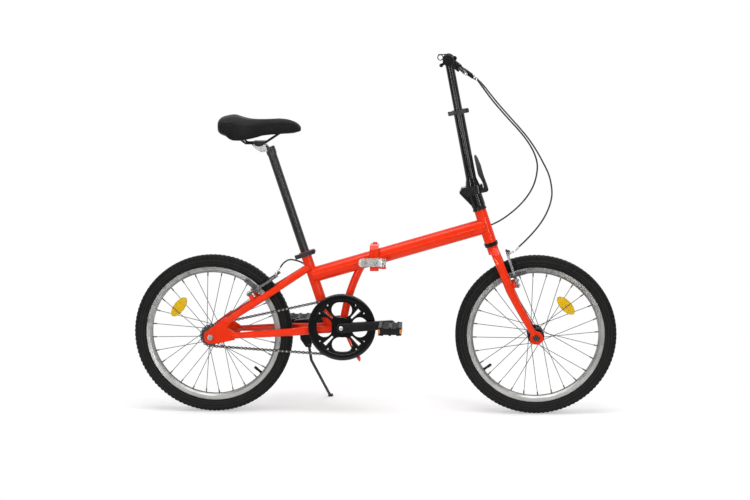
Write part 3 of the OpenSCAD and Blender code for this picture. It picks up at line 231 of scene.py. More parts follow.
# %% Enamel of the frame
def enamel(name):
    """The frame's orange red: nearly even, glossy, with a thin lacquer."""
    return finish(name, (0.80, 0.030, 0.002), (0.75, 0.026, 0.0015), grain=9, rough=(0.24, 0.3), depth=0, coat=0.25,
                  coat_rough=0.05, shine=0.12)


paint = enamel("orange red enamel")
print(paint.name, "has", len(paint.node_tree.nodes), "nodes")

# %% Blacks and greys
POST_LEAN = math.radians(17.8)
gloss_black = finish("black stem enamel", (0.002, 0.002, 0.0025), (0.003, 0.003, 0.0035), grain=12,
                     rough=(0.13, 0.18), depth=0, shine=0.36)
dull_black = finish("black satin coating", (0.003, 0.003, 0.003), (0.006, 0.006, 0.006), grain=60,
                    rough=(0.3, 0.42), relief=900, depth=0.06, shine=0.25)
post_grey = finish("dark grey post coating", (0.009, 0.009, 0.010), (0.013, 0.013, 0.014), grain=40,
                   rough=(0.2, 0.26), depth=0, stretch=(1, 1, 0.08), turn=(0, POST_LEAN, 0), shine=0.4)
guard_black = finish("guard gloss plastic", (0.002, 0.002, 0.002), (0.003, 0.003, 0.003), grain=25,
                     rough=(0.1, 0.15), depth=0, shine=0.4)
moulded_black = finish("moulded black plastic", (0.004, 0.004, 0.004), (0.008, 0.008, 0.008), grain=90,
                       rough=(0.38, 0.5), relief=1200, depth=0.15, shine=0.22)
cord_jacket = finish("cord jacket", (0.014, 0.014, 0.015), (0.024, 0.024, 0.025), grain=60,
                     rough=(0.26, 0.36), relief=1200, depth=0.05, shine=0.4)
grip_rubber = finish("grip rubber", (0.004, 0.004, 0.004), (0.008, 0.008, 0.008), grain=120,
                     rough=(0.5, 0.65), relief=1500, depth=0.3, shine=0.15)
print("finishes so far", len(bpy.data.materials))

# %% Alloys and steels
dark_alloy = finish("dark grey clamp alloy", (0.030, 0.031, 0.034), (0.055, 0.056, 0.060), grain=70,
                    rough=(0.3, 0.45), relief=900, depth=0.1, metal=0.5, shine=0.15)
arm_alloy = finish("grey brake arm alloy", (0.12, 0.12, 0.125), (0.20, 0.20, 0.205), grain=60,
                   rough=(0.2, 0.32), relief=900, depth=0.04, metal=0.8, shine=0.2)
bright_alloy = finish("bright forged alloy", (0.74, 0.74, 0.73), (0.60, 0.60, 0.60), grain=55,
                      rough=(0.22, 0.36), relief=800, depth=0.05, metal=1.0)
plated_steel = finish("plated latch steel", (0.70, 0.69, 0.66), (0.56, 0.56, 0.54), grain=30,
                      rough=(0.24, 0.36), depth=0, metal=1.0)
spoke_steel = finish("drawn spoke steel", (0.11, 0.11, 0.115), (0.075, 0.075, 0.08), grain=200,
                     rough=(0.3, 0.45), relief=2000, depth=0.1, metal=0.5, shine=0.3)
dark_steel = finish("oiled drive steel", (0.05, 0.048, 0.045), (0.10, 0.096, 0.088), grain=160,
                    rough=(0.3, 0.52), relief=1500, depth=0.25, metal=0.8, shine=0.3)
print("finishes so far", len(bpy.data.materials))

# %% [markdown]
# ## Two solids of two colours
# The stays are painted, but the bracket of the stand on them is black. The saddle's cradle is alloy, with a black
# sleeve round the post. Each is one solid. Its faces could be sorted by hand and given two materials, but the sorting
# is lost when the solid is packed again. A mask worked out from the place in space is not: one colour is laid over
# the other inside a box, or near a line.

# %% Masks and the two finishes
def over(look, colour, mask):
    """Another colour laid over a finish, where the mask that is made from Object coordinates is one."""
    tree = look.node_tree
    shader = tree.nodes["Principled BSDF"]
    under = shader.inputs["Base Color"].links[0].from_socket
    share = mask(tree, add(tree, "TexCoord").outputs["Object"])
    mixed = add(tree, "Mix", {0: share, 6: under, 7: (*colour, 1)}, data_type="RGBA")
    tree.links.new(mixed.outputs[2], shader.inputs["Base Color"])
    return look


def in_box(low, high):
    """A mask that is one inside a box: along each axis the place lies within half the box of its middle."""
    def mask(tree, place):
        axes = add(tree, "SeparateXYZ", {0: place}).outputs
        inside = [sums(tree, "COMPARE", axes[k], (low[k] + high[k]) / 2, (high[k] - low[k]) / 2) for k in range(3)]
        return sums(tree, "MULTIPLY", sums(tree, "MULTIPLY", inside[0], inside[1]), inside[2])
    return mask


def near_line(point, arrow, reach):
    """A mask that is one near a line: the distance is the length of (place - point) x arrow, for a unit arrow."""
    def mask(tree, place):
        rest = add(tree, "VectorMath", {0: place, 1: point}, operation="SUBTRACT").outputs[0]
        across = add(tree, "VectorMath", {0: rest, 1: arrow}, operation="CROSS_PRODUCT").outputs[0]
        return sums(tree, "LESS_THAN", add(tree, "VectorMath", {0: across}, operation="LENGTH").outputs["Value"], reach)
    return mask


stay_paint = over(enamel("enamel with black stand bracket"), (0.006, 0.006, 0.006),
                  in_box((-0.236, 0.032, 0.18), (-0.190, 0.043, 0.2475)))
cradle_plain = finish("cradle alloy with black sleeve", (0.52, 0.52, 0.51), (0.40, 0.40, 0.40), grain=55,
                      rough=(0.3, 0.46), relief=900, depth=0.2, metal=0.9)
cradle_alloy = over(cradle_plain, (0.05, 0.05, 0.05),
                    near_line((-0.209167, 0, 0.500499), (-0.3057, 0, 0.9521), 0.0158))
print("finishes so far", len(bpy.data.materials))

# %% [markdown]
# ## Rims
# A rim is rolled and then turned, and its sides show fine rings that spread every lamp into a fan. A picture of
# brushed metal could be wrapped round it, but it would have a seam. The sine of the distance from the axle has none,
# and it is round by itself.

# %% Rims show the lathe's rings
def spun_alloy(name, axle):
    """Rings of the lathe: the sine of the distance from the axle, in the wheel's plane, lifts the surface a hair,
    and the gloss is drawn out across the rings, so that lamps spread into fans. The bed between the spoke holes,
    within 7 mm of the middle plane, is painted near black as shade inside the rim's channel."""
    look, tree, shader, place = start_finish(name, 1.0)
    shader.inputs["Anisotropic"].default_value = 0.75
    round_axle = add(tree, "Tangent", direction_type="RADIAL", axis="Y")
    tree.links.new(round_axle.outputs[0], shader.inputs["Tangent"])
    centred = add(tree, "Mapping", {"Vector": place, "Location": [-c for c in axle]}).outputs[0]
    flat = add(tree, "VectorMath", {0: centred, 1: (1, 0, 1)}, operation="MULTIPLY")
    reach = add(tree, "VectorMath", {0: flat.outputs[0]}, operation="LENGTH").outputs["Value"]
    rings = sums(tree, "SINE", sums(tree, "MULTIPLY", reach, 5200.0))
    tree.links.new(mottled(tree, centred, 26, (0.47, 0.47, 0.46), (0.38, 0.38, 0.37)), shader.inputs["Base Color"])
    smear = add(tree, "TexNoise", {"Vector": centred, "Scale": 90.0, "Detail": 4.0})
    tree.links.new(ranged(tree, smear.outputs[0], 0.26, 0.42), shader.inputs["Roughness"])
    bump = add(tree, "Bump", {"Height": rings, "Strength": 0.04, "Distance": 0.0002})
    tree.links.new(bump.outputs[0], shader.inputs["Normal"])
    # painted shade: the rim's bed, within 7.2 mm of the middle plane, is coloured near black for the shade in the
    # channel
    return over(look, (0.008, 0.008, 0.008), in_box((-2, -0.0072, -2), (2, 0.0072, 2)))


FRONT_AXLE, REAR_AXLE = np.array([0.495, 0, 0.245]), np.array([-0.495, 0, 0.245])
front_rim_alloy, rear_rim_alloy = spun_alloy("front rim alloy", FRONT_AXLE), spun_alloy("rear rim alloy", REAR_AXLE)
print("rims turned about", FRONT_AXLE, "and", REAR_AXLE)

# %% [markdown]
# ## Tyre rubber
# Rubber is almost black, with a faint bloom, and a painted highlight makes it lighter on the raised lines of the side
# wall. Lines could be found from the place in space, as the rim's are. But they follow the tyre, so its own mesh is
# left to say at each point how far it lies on a line, and the finish reads that attribute.

# %% Tyre rubber has a painted highlight on its raised lines
def tyre_rubber():
    """A broad noise for the bloom on the rubber, and a point attribute for a painted highlight along the raised lines.
    """
    look, tree, shader, place = start_finish("tyre rubber", shine=0.13)
    line = add(tree, "Attribute", attribute_name="line").outputs["Fac"]
    plain = mottled(tree, place, 45, (0.004, 0.004, 0.004), (0.009, 0.009, 0.0085), 0.3, 0.75)
    # painted highlight: the rubber is lifted to grey where the line attribute is one, for the light the raised lines
    # catch
    mixed = add(tree, "Mix", {0: line, 6: plain, 7: (0.022, 0.022, 0.021, 1)}, data_type="RGBA")
    tree.links.new(mixed.outputs[2], shader.inputs["Base Color"])
    roughened(tree, shader, place, 120, (0.5, 0.68), 1600, 0.3)
    return look


tyre_black = tyre_rubber()
print(tyre_black.name, "has", len(tyre_black.node_tree.nodes), "nodes")

# %% [markdown]
# ## Saddle skin
# The skin is a soft black plastic with a grain like leather's. The grain is far finer than any mesh that is wanted
# here, so it is left to a bump: cells that sink at their borders.

# %% Saddle skin has a leather grain
def saddle_skin():
    """Space is shared out to scattered points, each place to its nearest. The cells, about a millimetre and a half
    across, sink at their borders like leather's."""
    look, tree, shader, place = start_finish("black saddle skin", shine=0.15, sheen=0.01)
    tree.links.new(mottled(tree, place, 22, (0.004, 0.004, 0.004), (0.007, 0.007, 0.007)), shader.inputs["Base Color"])
    worn = add(tree, "TexNoise", {"Vector": place, "Scale": 30.0, "Detail": 4.0})
    tree.links.new(ranged(tree, worn.outputs[0], 0.4, 0.55), shader.inputs["Roughness"])
    cells = add(tree, "TexVoronoi", {"Vector": place, "Scale": 620.0}, feature="DISTANCE_TO_EDGE")
    raised = ranged(tree, cells.outputs["Distance"], 0.0, 1.0, 0.0, 0.16)
    bump = add(tree, "Bump", {"Height": raised, "Strength": 0.3, "Distance": 0.0005})
    tree.links.new(bump.outputs[0], shader.inputs["Normal"])
    return look


skin = saddle_skin()
print(skin.name, "has", len(skin.node_tree.nodes), "nodes")

# %% [markdown]
# ## Amber lenses
# A reflector has hundreds of small prisms behind a smooth face. Modelled one by one they would cost more faces than
# the rest of the wheel. Two sets of waves that cross each other give the same glitter, as colour, gloss and relief at
# once.

# %% Amber lenses are full of tiny prisms
def amber_lens(name, first, second):
    """Two sets of ribs across each other: the sum of two sines along the diagonals, every three millimetres."""
    look, tree, shader, place = start_finish(name, shine=0.25)
    axes = add(tree, "SeparateXYZ", {0: place}).outputs
    waves = [sums(tree, "SINE", sums(tree, "MULTIPLY", sums(tree, how, axes["X"], axes["Z"]), 1480.0))
             for how in ("ADD", "SUBTRACT")]
    prisms = sums(tree, "ADD", *waves)
    tint = add(tree, "Mix", {0: ranged(tree, prisms, 0.0, 1.0, -1.2, 1.2), 6: (*second, 1),
                             7: mottled(tree, place, 70, first, tuple(0.9 * c for c in first))}, data_type="RGBA")
    tree.links.new(tint.outputs[2], shader.inputs["Base Color"])
    tree.links.new(ranged(tree, prisms, 0.24, 0.42, -2.0, 2.0), shader.inputs["Roughness"])
    bump = add(tree, "Bump", {"Height": prisms, "Strength": 0.5, "Distance": 0.0005})
    tree.links.new(bump.outputs[0], shader.inputs["Normal"])
    return look


amber = amber_lens("amber reflector lens", (0.86, 0.56, 0.002), (0.60, 0.34, 0.001))
orange = amber_lens("orange pedal lens", (0.84, 0.22, 0.004), (0.60, 0.12, 0.002))
print("lenses", amber.name, "and", orange.name)

# %% [markdown]
# ## Dressing the solids
# Where a solid already has the right shape it stays, and only gets its finish. A table from each finish to its
# solids keeps that in one place.

# %% Finish for each solid
DRESS = [
    (paint, "seat_tube rear_main_tube strut_tube seatstays bottom_bracket_shell front_frame_tube fork_blades "
            "frame_hinge_pin"),
    (stay_paint, "chainstays"),
    (gloss_black, "stem_base stem_tube upper_post handlebar kickstand stem_latch_lever"),
    (dull_black, "headset_cups brake_perches crank_arms saddle_rails front_hub"),
    (post_grey, "seat_post"),
    (dark_alloy, "seat_clamp seat_clamp_lever post_clamp post_clamp_lever bottom_bracket_cups"),
    (arm_alloy, "front_right_brake_arm front_left_brake_arm rear_right_brake_arm rear_left_brake_arm"),
    (bright_alloy, "right_brake_lever left_brake_lever rear_hub"),
    (cradle_alloy, "saddle_clamp"),
    (plated_steel, "frame_latch_lever fork_steerer crank_spindle rear_axle"),
    (spoke_steel, "front_spokes rear_spokes"),
    (dark_steel, "rear_sprocket chainring chain front_axle"),
    (guard_black, "chain_guard"),
    (moulded_black, "right_pedal left_pedal saddle_base"),
    (cord_jacket, "front_brake_cable rear_brake_cable_front rear_brake_cable_middle rear_brake_cable_rear"),
    (grip_rubber, "grips"),
    (front_rim_alloy, "front_rim"),
    (rear_rim_alloy, "rear_rim"),
    (tyre_black, "front_tyre rear_tyre"),
    (skin, "saddle_cover"),
    (amber, "front_reflector rear_reflector"),
]
dressed = [(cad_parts[node], look) for look, names in DRESS for node in names.split()]
for solid, look in dressed:
    solid.data.materials.clear()
    solid.data.materials.append(look)
print("dressed", len(dressed), "of", len(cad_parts))

# %% [markdown]
# ## Brake cords
# Each cord is a jacketed cable, held at both ends, so its length is settled by the places that hold it. It has to
# follow the handlebar when that slides, the stem when it folds and the fork when it steers. A cord is cut where it
# hangs free, both lengths at a cut are listed with the same body, and a length with one body rides on it.

# %% Curves and tubes
def square_to(arrow, hint):
    """Unit arrows along, sideways and upwards: sideways is hint x along, upwards is along x sideways."""
    along = arrow / np.linalg.norm(arrow, axis=-1, keepdims=True)
    side = np.cross(np.broadcast_to(hint, along.shape), along)
    side = side / np.linalg.norm(side, axis=-1, keepdims=True)
    return along, side, np.cross(along, side)


def circle(sides):
    """Cosines and sines of equal steps round a circle."""
    angle = np.linspace(0, 2 * np.pi, sides, endpoint=False)
    return np.stack([np.cos(angle), np.sin(angle)], -1)


def swept(path, radius, sides=12, hint=(0.0, 1.0, 0.0)):
    """A tube: at each point of the path a ring of that radius, square to the way from the last point to the next."""
    _, side, up = square_to(np.gradient(path, axis=0), np.array(hint, float))
    ring = circle(sides)
    spread = np.broadcast_to(radius, len(path))[:, None, None]
    return path[:, None] + spread * (ring[:, 0, None] * side[:, None] + ring[:, 1, None] * up[:, None])


def eased(points, steps):
    """A smooth curve through points: a cubic on each span. The slope at a point is the step between its neighbours
    over the length of the two spans, so that a long span beside a short one does not overshoot."""
    points = np.array(points, float)
    span = np.linalg.norm(np.diff(points, axis=0), axis=1)
    run = np.concatenate([2 * points[:1] - points[1:2], points, 2 * points[-1:] - points[-2:-1]])
    gap = np.concatenate([span[:1], span, span[-1:]])
    slope = (run[2:] - run[:-2]) / (gap[1:] + gap[:-1])[:, None]
    t = np.linspace(0, 1, steps, endpoint=False)[None, :, None]
    start, stop = (slope[:-1] * span[:, None])[:, None], (slope[1:] * span[:, None])[:, None]
    curve = ((2 * t**3 - 3 * t**2 + 1) * points[:-1, None] + (t**3 - 2 * t**2 + t) * start
             + (3 * t**2 - 2 * t**3) * points[1:, None] + (t**3 - t**2) * stop)
    return np.concatenate([curve.reshape(-1, points.shape[1]), points[-1:]])


print("a corner through 3 points, eased in 8 steps a span, has", len(eased([[0, 0], [1, 0], [1, 1]], 8)), "points")

# %% Routes of the cords, in millimetres
FRONT_CORD = [[312, 104, 1022], [332.5, 96, 1002], [358, 84, 970.2], [383, 70, 940.2], [413, 54, 906.2],
              [443, 38, 873], [470.5, 22, 839.5], [493.5, 8, 805], [512.5, -4, 770.5], [528, -12, 738],
              [536, -18, 706], [538, -22, 674], [530, -26, 640], [514, -30, 606], [492, -34, 575],
              [464, -37, 544], [440.5, -38, 521.3]]
REAR_CORD_FRONT = [[312, -104, 1022], [328.8, -96, 999], [353.5, -82, 965.8], [378.5, -66, 935.8],
                   [408.5, -46, 901.8], [438.5, -26, 868.8], [465, -8, 835], [485.5, 8, 799.5], [496, 18, 764],
                   [494, 27, 728], [484, 33, 694], [464, 37, 660], [438, 38, 631], [410, 37, 607.5],
                   [384, 34, 590.5], [354, 30, 577]]
REAR_CORD_MIDDLE = [[326, 28, 571], [302, 26.8, 565.9], [282.08, 26.5, 560.71], [90.02, 26.5, 504.91],
                    [74, 29.8, 500], [58, 35.8, 495.2]]
REAR_CORD_REAR = [[27, 49.4, 486.6], [4, 53, 480.4], [-20, 49.4, 473.4], [-45, 40.5, 466.2], [-68, 31, 459.2],
                  [-87.63, 26.5, 453.3], [-110.68, 26.5, 446.6], [-130, 28, 441.2], [-152, 30, 437.5],
                  [-172, 32, 437.5], [-192, 34, 442], [-208, 35, 450], [-224, 31, 462], [-242, 20, 470],
                  [-256, 4, 474], [-266, -14, 472], [-274, -29, 466], [-280.6, -37.5, 456.6]]
STEPS = 8
whole_front = eased(FRONT_CORD, STEPS) * MM
whole_rear = eased(REAR_CORD_FRONT + REAR_CORD_MIDDLE + REAR_CORD_REAR, STEPS) * MM


def run_length(path):
    """The sum of the steps from each point to the next."""
    return float(np.linalg.norm(np.diff(path, axis=0), axis=1).sum())


print("cord lengths", round(run_length(whole_front), 3), round(run_length(whole_rear), 3))

# %% Cut the cords and let a length with one body follow it
CORD_R = 2.5 * MM


def cord(name, path, first, last, bodies, stands_for):
    """The tube round the path's points from first to last, riding on its body if it has one, else left in place."""
    cut = path[first * STEPS:last * STEPS + 1]
    piece = put(name, shell(swept(cut, CORD_R, 12, (0.13, 1.0, 0.21))), None, cord_jacket)
    if len(bodies) == 1:
        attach(piece, bodies[0])
    else:
        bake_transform(piece)
    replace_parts(piece, stands_for)


CUTS = (("front_cord_high", whole_front, 0, 7, ("bar", "stem"), "front_brake_cable"),
        ("front_cord_low", whole_front, 7, 13, ("stem", "fork"), "front_brake_cable"),
        ("front_cord_end", whole_front, 13, 16, ("fork", "front_right_brake_arm"), "front_brake_cable"),
        ("rear_cord_high", whole_rear, 0, 6, ("bar", "stem"), "rear_brake_cable_front"),
        ("rear_cord_loop", whole_rear, 6, 10, ("stem", "fork"), "rear_brake_cable_front"),
        ("rear_cord_turn", whole_rear, 10, 15, ("fork", "front_frame"), "rear_brake_cable_front"),
        ("rear_cord_beside_tube", whole_rear, 15, 19, ("front_frame",), "rear_brake_cable_middle"),
        ("rear_cord_at_hinge", whole_rear, 19, 24, ("front_frame", "rear_frame"), "rear_brake_cable_middle"),
        ("rear_cord_to_brake", whole_rear, 24, 35, ("rear_frame",), "rear_brake_cable_rear"),
        ("rear_cord_end", whole_rear, 35, 39, ("rear_frame", "rear_right_brake_arm"), "rear_brake_cable_rear"))
for cut in CUTS:
    cord(*cut)

# %% [markdown]
# ## Tyres
# A tyre is a ring with a round section. Its tread is cut into blocks by grooves, which show on the outline of the
# wheel, so they are real relief and not only a bump in the shading. The depth is a function of two parameters: how
# far round the wheel, counted in blocks, and how far across the section.

# %% Tread
BLOCKS, STEPS_A_BLOCK, BLOCK_LENGTH = 110, 8, 14
CROWN, SECTION, CENTRE = 245.0, 23.6, 224.2
GROOVE, LINE_RISE = 1.5, 0.6


def soft_step(x):
    """Nought below 0, one above 1, and a smooth cubic between."""
    x = np.clip(x, 0, 1)
    return x * x * (3 - 2 * x)


def tread_depth(blocks, across):
    """Groove depth from 0 to 1. Zigzag grooves run round at 7 and 16.5 mm from the middle, slots cut the shoulders
    once a block, staggered left to right, and short cuts cross the middle rib."""
    share = lambda x: np.abs(x - np.floor(x) - 0.5)
    wide = np.abs(across)
    zigzag = (2 * share(blocks) - 0.5) * 2.4
    rounds = np.maximum(soft_step(1.5 - np.abs(wide - 7 - zigzag) / 1.3),
                        soft_step(1.5 - np.abs(wide - 16.5 + zigzag) / 1.2))
    side = np.where(across < 0, 0.5, 0.0)
    slots = soft_step(1.6 - share(blocks + side + 0.012 * wide) * BLOCK_LENGTH / 2.3)
    slots = slots * soft_step((wide - 6.5) / 1.5)
    cuts = 0.5 * soft_step(1.3 - share(blocks + 0.5 + 0.03 * across) * BLOCK_LENGTH / 1.2) * (wide < 7.5)
    return np.maximum(np.maximum(rounds, slots), cuts) * soft_step((29.5 - wide) / 2.0)


print("blocks of", round(2 * math.pi * CROWN / BLOCKS, 2), "mm round the crown")

# %% Tyres
def tyre(axle):
    """The section is a circle held below the crown radius by a soft minimum. Grooves sink along its normal, and
    three raised lines run round each side wall."""
    turn = np.linspace(0, 2 * np.pi, BLOCKS * STEPS_A_BLOCK, endpoint=False)[:, None]
    angle = np.radians(np.concatenate([np.linspace(-128, -76, 21), np.linspace(-73, 73, 47), np.linspace(76, 128, 21)]))
    across = SECTION * angle
    sunk = GROOVE * tread_depth(turn * BLOCKS / (2 * np.pi), across[None, :])
    lines = sum(np.exp(-((np.abs(np.degrees(angle)) - at) / 2.4) ** 2) for at in (78, 99, 118))
    out = SECTION - sunk + LINE_RISE * lines[None, :]
    reach = CENTRE + out * np.cos(angle)
    limit = CROWN - sunk
    reach = limit - 0.5 * np.logaddexp(0, (limit - reach) / 0.5)
    wide = out * np.sin(angle)
    bead = np.array([[209.4, 15.0], [209.3, 10.6], [204.0, 10.3], [204.0, -10.3], [209.3, -10.6], [209.4, -15.0]])
    ends = np.ones_like(turn)
    reach = np.concatenate([reach, ends * bead[:, 0]], 1) * MM
    wide = np.concatenate([wide, ends * bead[:, 1]], 1) * MM
    # painted highlight: how far each point lies on a raised line, read by the finish to lighten the rubber there
    painted_highlight = np.broadcast_to(np.concatenate([lines, np.zeros(len(bead))]), reach.shape)
    return shell(axle + np.stack([reach * np.cos(turn), wide, reach * np.sin(turn)], -1), loop=True), painted_highlight.ravel()


for side, axle in (("front", FRONT_AXLE), ("rear", REAR_AXLE)):
    made, painted_highlight = tyre(axle)
    piece = put(f"{side}_tyre_tread", made, f"{side}_wheel", tyre_black, 50, replaces=[f"{side}_tyre"])
    piece.data.attributes.new("line", "FLOAT", "POINT").data.foreach_set("value", painted_highlight.astype(np.float32))

# %% [markdown]
# ## Valves
# Each rim has one valve: a rubber stem with a ribbed plastic cap. It is a lathe shape that points at the axle,
# midway between two spokes.

# %% Valves
RIM_BED = 0.1912


def turned(profile, foot, axis, sides=32, hint=(0.31, 0.52, 0.8)):
    """A lathe: each (along, radius) of the profile, in millimetres, is a ring round the axis through the foot."""
    along, side, up = square_to(np.array(axis, float), np.array(hint, float))
    ring = circle(sides) @ np.stack([side, up])
    profile = np.array(profile, float) * MM
    return np.array(foot) + profile[:, 0, None, None] * along + profile[:, 1, None, None] * ring


def valve(axle, degrees):
    """Stem, shoulder and cap turned about the line from the rim towards the axle."""
    way = math.radians(degrees)
    out = np.array([math.cos(way), 0, math.sin(way)])
    stem = [(0, 5.2), (1.5, 5.0), (3, 4.0), (14, 3.7), (14.5, 4.4), (16, 4.5), (17, 4.3), (18, 4.5), (19, 4.3),
            (20, 4.5), (21, 4.3), (22, 4.5), (25, 4.4), (27, 3.6), (27.6, 2.2)]
    return shell(turned(stem, axle + RIM_BED * out, -out, 20, (0, 1, 0)))


put("front_valve", valve(FRONT_AXLE, 215), "front_wheel", moulded_black)
put("rear_valve", valve(REAR_AXLE, -40.6), "rear_wheel", moulded_black)

# %% [markdown]
# ## Chain
# A roller chain has pairs of plates, shaped like an eight, that lie outside and inside by turns, with a pin and a
# roller at each joint. Rows of joints are worked out along the loop as one array: round the ring, along the lower
# run, round the sprocket and back. One plate of a few dozen faces is then repeated at every link.

# %% Joints of the chain
CRANK_AXLE = np.array([-0.09370618602, 0, 0.275])
PITCH, RING_TEETH, SPROCKET_TEETH, LINKS, CHAIN_Y = 12.7, 44, 16, 94, -0.042
ring_r = PITCH / (2 * math.sin(math.pi / RING_TEETH)) * MM
sprocket_r = PITCH / (2 * math.sin(math.pi / SPROCKET_TEETH)) * MM


def chain_joints():
    """Joint k lies on the ring, the lower run, the sprocket or the upper run, by how many links it is along."""
    apart = CRANK_AXLE - REAR_AXLE
    far = np.linalg.norm(apart)
    rise, belt = math.atan2(apart[2], apart[0]), math.asin((ring_r - sprocket_r) / far)
    top, low = rise + math.pi / 2 + belt, rise - math.pi / 2 - belt
    spoke = lambda a: np.stack([np.cos(a), 0 * a, np.sin(a)], -1)
    run = math.sqrt(far**2 - (ring_r - sprocket_r) ** 2) / (PITCH * MM)
    wrap = RING_TEETH * (0.5 + belt / math.pi)
    back = wrap + run + SPROCKET_TEETH * (0.5 - belt / math.pi)
    k = np.arange(LINKS, dtype=float)
    ends = [CRANK_AXLE + ring_r * spoke(np.array(low)), REAR_AXLE + sprocket_r * spoke(np.array(low)),
            REAR_AXLE + sprocket_r * spoke(np.array(top)), CRANK_AXLE + ring_r * spoke(np.array(top))]
    on_ring = CRANK_AXLE + ring_r * spoke(top - k * 2 * np.pi / RING_TEETH)
    lower = ends[0] + (ends[1] - ends[0]) * ((k - wrap) / run)[:, None]
    on_sprocket = REAR_AXLE + sprocket_r * spoke(low - (k - wrap - run) * 2 * np.pi / SPROCKET_TEETH)
    upper = ends[2] + (ends[3] - ends[2]) * ((k - back) / run)[:, None]
    part = np.digitize(k, [wrap, wrap + run, back], right=True)[:, None]
    return np.where(part == 0, on_ring, np.where(part == 1, lower, np.where(part == 2, on_sprocket, upper)))


joints = chain_joints() + [0, CHAIN_Y, 0]
print("chain joints", len(joints))

# %% One shell many times, and many as one
def joined(shells):
    """Several shells as one, each facing outwards: faces are counted on from the points before them."""
    first = np.cumsum([0] + [len(points) for points, _ in shells])
    faces = [face + start for (points, given), start in zip(shells, first) for face in outward(points, given)]
    return np.concatenate([points for points, _ in shells]), faces


def repeated(one, turns, places):
    """One shell at many places: copy c of point p is turn c times p, plus place c."""
    points, faces = one
    many = np.einsum("cij,pj->cpi", turns, points) + places[:, None, :]
    shift = np.arange(len(places)) * len(points)
    return many.reshape(-1, 3), [(f[None] + shift[:, None, None]).reshape(-1, f.shape[1]) for f in faces]


# %% Plates, pins and rollers
def link_plate(low, high):
    """An eight: two round ends of 4.2 mm and a waist of 2.4, given by its half height over its length."""
    x = np.array([-10.5, -9.7, -8.2, -6.3, -3.2, 0, 3.2, 6.3, 8.2, 9.7, 10.5])
    half = np.array([0.9, 2.6, 3.8, 4.2, 2.9, 2.4, 2.9, 4.2, 3.8, 2.6, 0.9])
    outline = np.concatenate([np.stack([x, half], -1), np.stack([x[::-1], -half[::-1]], -1)])
    flat = lambda y: np.stack([outline[:, 0], np.full(len(outline), y), outline[:, 1]], -1)
    return shell(np.stack([flat(low), flat(high)]) * MM)


def chain():
    """Plates at the middle of each link, turned to its direction, a roller at each joint, and pins through them."""
    ahead = np.roll(joints, -1, 0) - joints
    along, side, _ = square_to(ahead, np.array([0.0, 1.0, 0.0]))
    turns = np.stack([along, np.broadcast_to([0.0, 1.0, 0.0], along.shape), -side], -1)
    middle = joints + ahead / 2
    plates = [repeated(link_plate(low, high), turns[first::2], middle[first::2])
              for first, low, high in ((0, 2.3, 3.3), (0, -3.3, -2.3), (1, 1.1, 2.1), (1, -2.1, -1.1))]
    still = np.broadcast_to(np.eye(3), (LINKS, 3, 3))
    roller = shell(turned([(-1.2, 3.8), (1.2, 3.8)], (0, 0, 0), (0, 1, 0), 12))
    pin = shell(turned([(-4.2, 1.4), (-3.6, 2.2), (3.6, 2.2), (4.2, 1.4)], (0, 0, 0), (0, 1, 0), 8))
    return joined([*plates, repeated(roller, still, joints)]), repeated(pin, still, joints)


links, pins = chain()
put("chain_links", links, "rear_frame", dark_steel, 35, replaces=["chain"])
put("chain_pins", pins, "rear_frame", bright_alloy, 35)

# %% [markdown]
# ## Reflectors
# Each wheel carries an amber reflector clipped between the spokes, an oval with a rounded edge. Rings of the oval
# shrink and rise towards the face, as the rim of a pressed lens does.

# %% Wheel reflectors
def lens_oval(axle, degrees, reach, front, back):
    """Half length 35, half width 16.5 by the sine to the power 1.06, set across the wheel's radius."""
    angle = np.linspace(0, 2 * np.pi, 64, endpoint=False)
    long, wide = 35 * np.cos(angle), 16.5 * np.sign(np.sin(angle)) * np.abs(np.sin(angle)) ** 1.06
    rows = np.array([(0.90, back), (0.985, back - 0.6), (1.0, back - 1.6), (1.0, front + 1.8), (0.97, front + 0.7),
                     (0.90, front + 0.15), (0.62, front), (0.3, front)])
    local = np.stack([rows[:, :1] * wide, np.broadcast_to(rows[:, 1:], (len(rows), 64)), rows[:, :1] * long], -1)
    a = math.radians(degrees)
    turn = np.array([[np.cos(a), 0, -np.sin(a)], [0, 1, 0], [np.sin(a), 0, np.cos(a)]])
    return shell(axle + (local + [reach, 0, 0]) * MM @ turn.T)


put("front_lens", lens_oval(FRONT_AXLE, 44.7, 128, -6.7, 7.3), "front_wheel", amber, 50,
    replaces=["front_reflector"])
put("rear_lens", lens_oval(REAR_AXLE, 142.7, 134, -7.3, 5.9), "rear_wheel", amber, 50,
    replaces=["rear_reflector"])

# %% [markdown]
# ## Guard and cranks
# The chain guard is moulded with a raised outer ring, which catches the light, and with ribs beside its slots. Small
# screws hold it, and a plated bolt in a black ring holds each crank. All of them are lathe shapes or short tubes.
# Raised trim could be a bump in the finish, but then the guard's edge would stay flat when seen from the side.

# %% Guard trim
GUARD_FACE = CRANK_AXLE + [0, -0.0529, 0]
SLOT_WAYS = [45, 135, 225, 315]


def hoop(profile, foot, axis, sides=96):
    """A ring whose section is the closed profile of (along, radius)."""
    return shell(turned(profile, foot, axis, sides), loop=True)


def guard_trim():
    """A flat ring from 85 to 102 mm, a lip round the middle and a straight rib on either side of each slot, all on the
    guard's outer face."""
    ring = hoop([(0, 84), (1.1, 85), (1.5, 87), (1.5, 99.5), (1.1, 101.6), (0, 102.6)], GUARD_FACE, (0, -1, 0))
    lip = hoop([(0, 27), (1.2, 28), (1.2, 30.5), (0, 31.5)], GUARD_FACE, (0, -1, 0), 64)
    ribs = []
    for way in np.radians(SLOT_WAYS):
        out, off = np.array([np.cos(way), 0, np.sin(way)]), np.array([-np.sin(way), 0, np.cos(way)])
        for side in (-1, 1):
            reach, aside = np.array([[38.0], [57.0], [78.0]]), side * np.array([[4.4], [5.7], [7.2]])
            ends = GUARD_FACE + MM * (reach * out + aside * off)
            ribs.append(shell(swept(ends, 1.5 * MM, 8)))
    return joined([ring, lip, *ribs])


put("guard_trim", guard_trim(), "crankset", guard_black, 35)

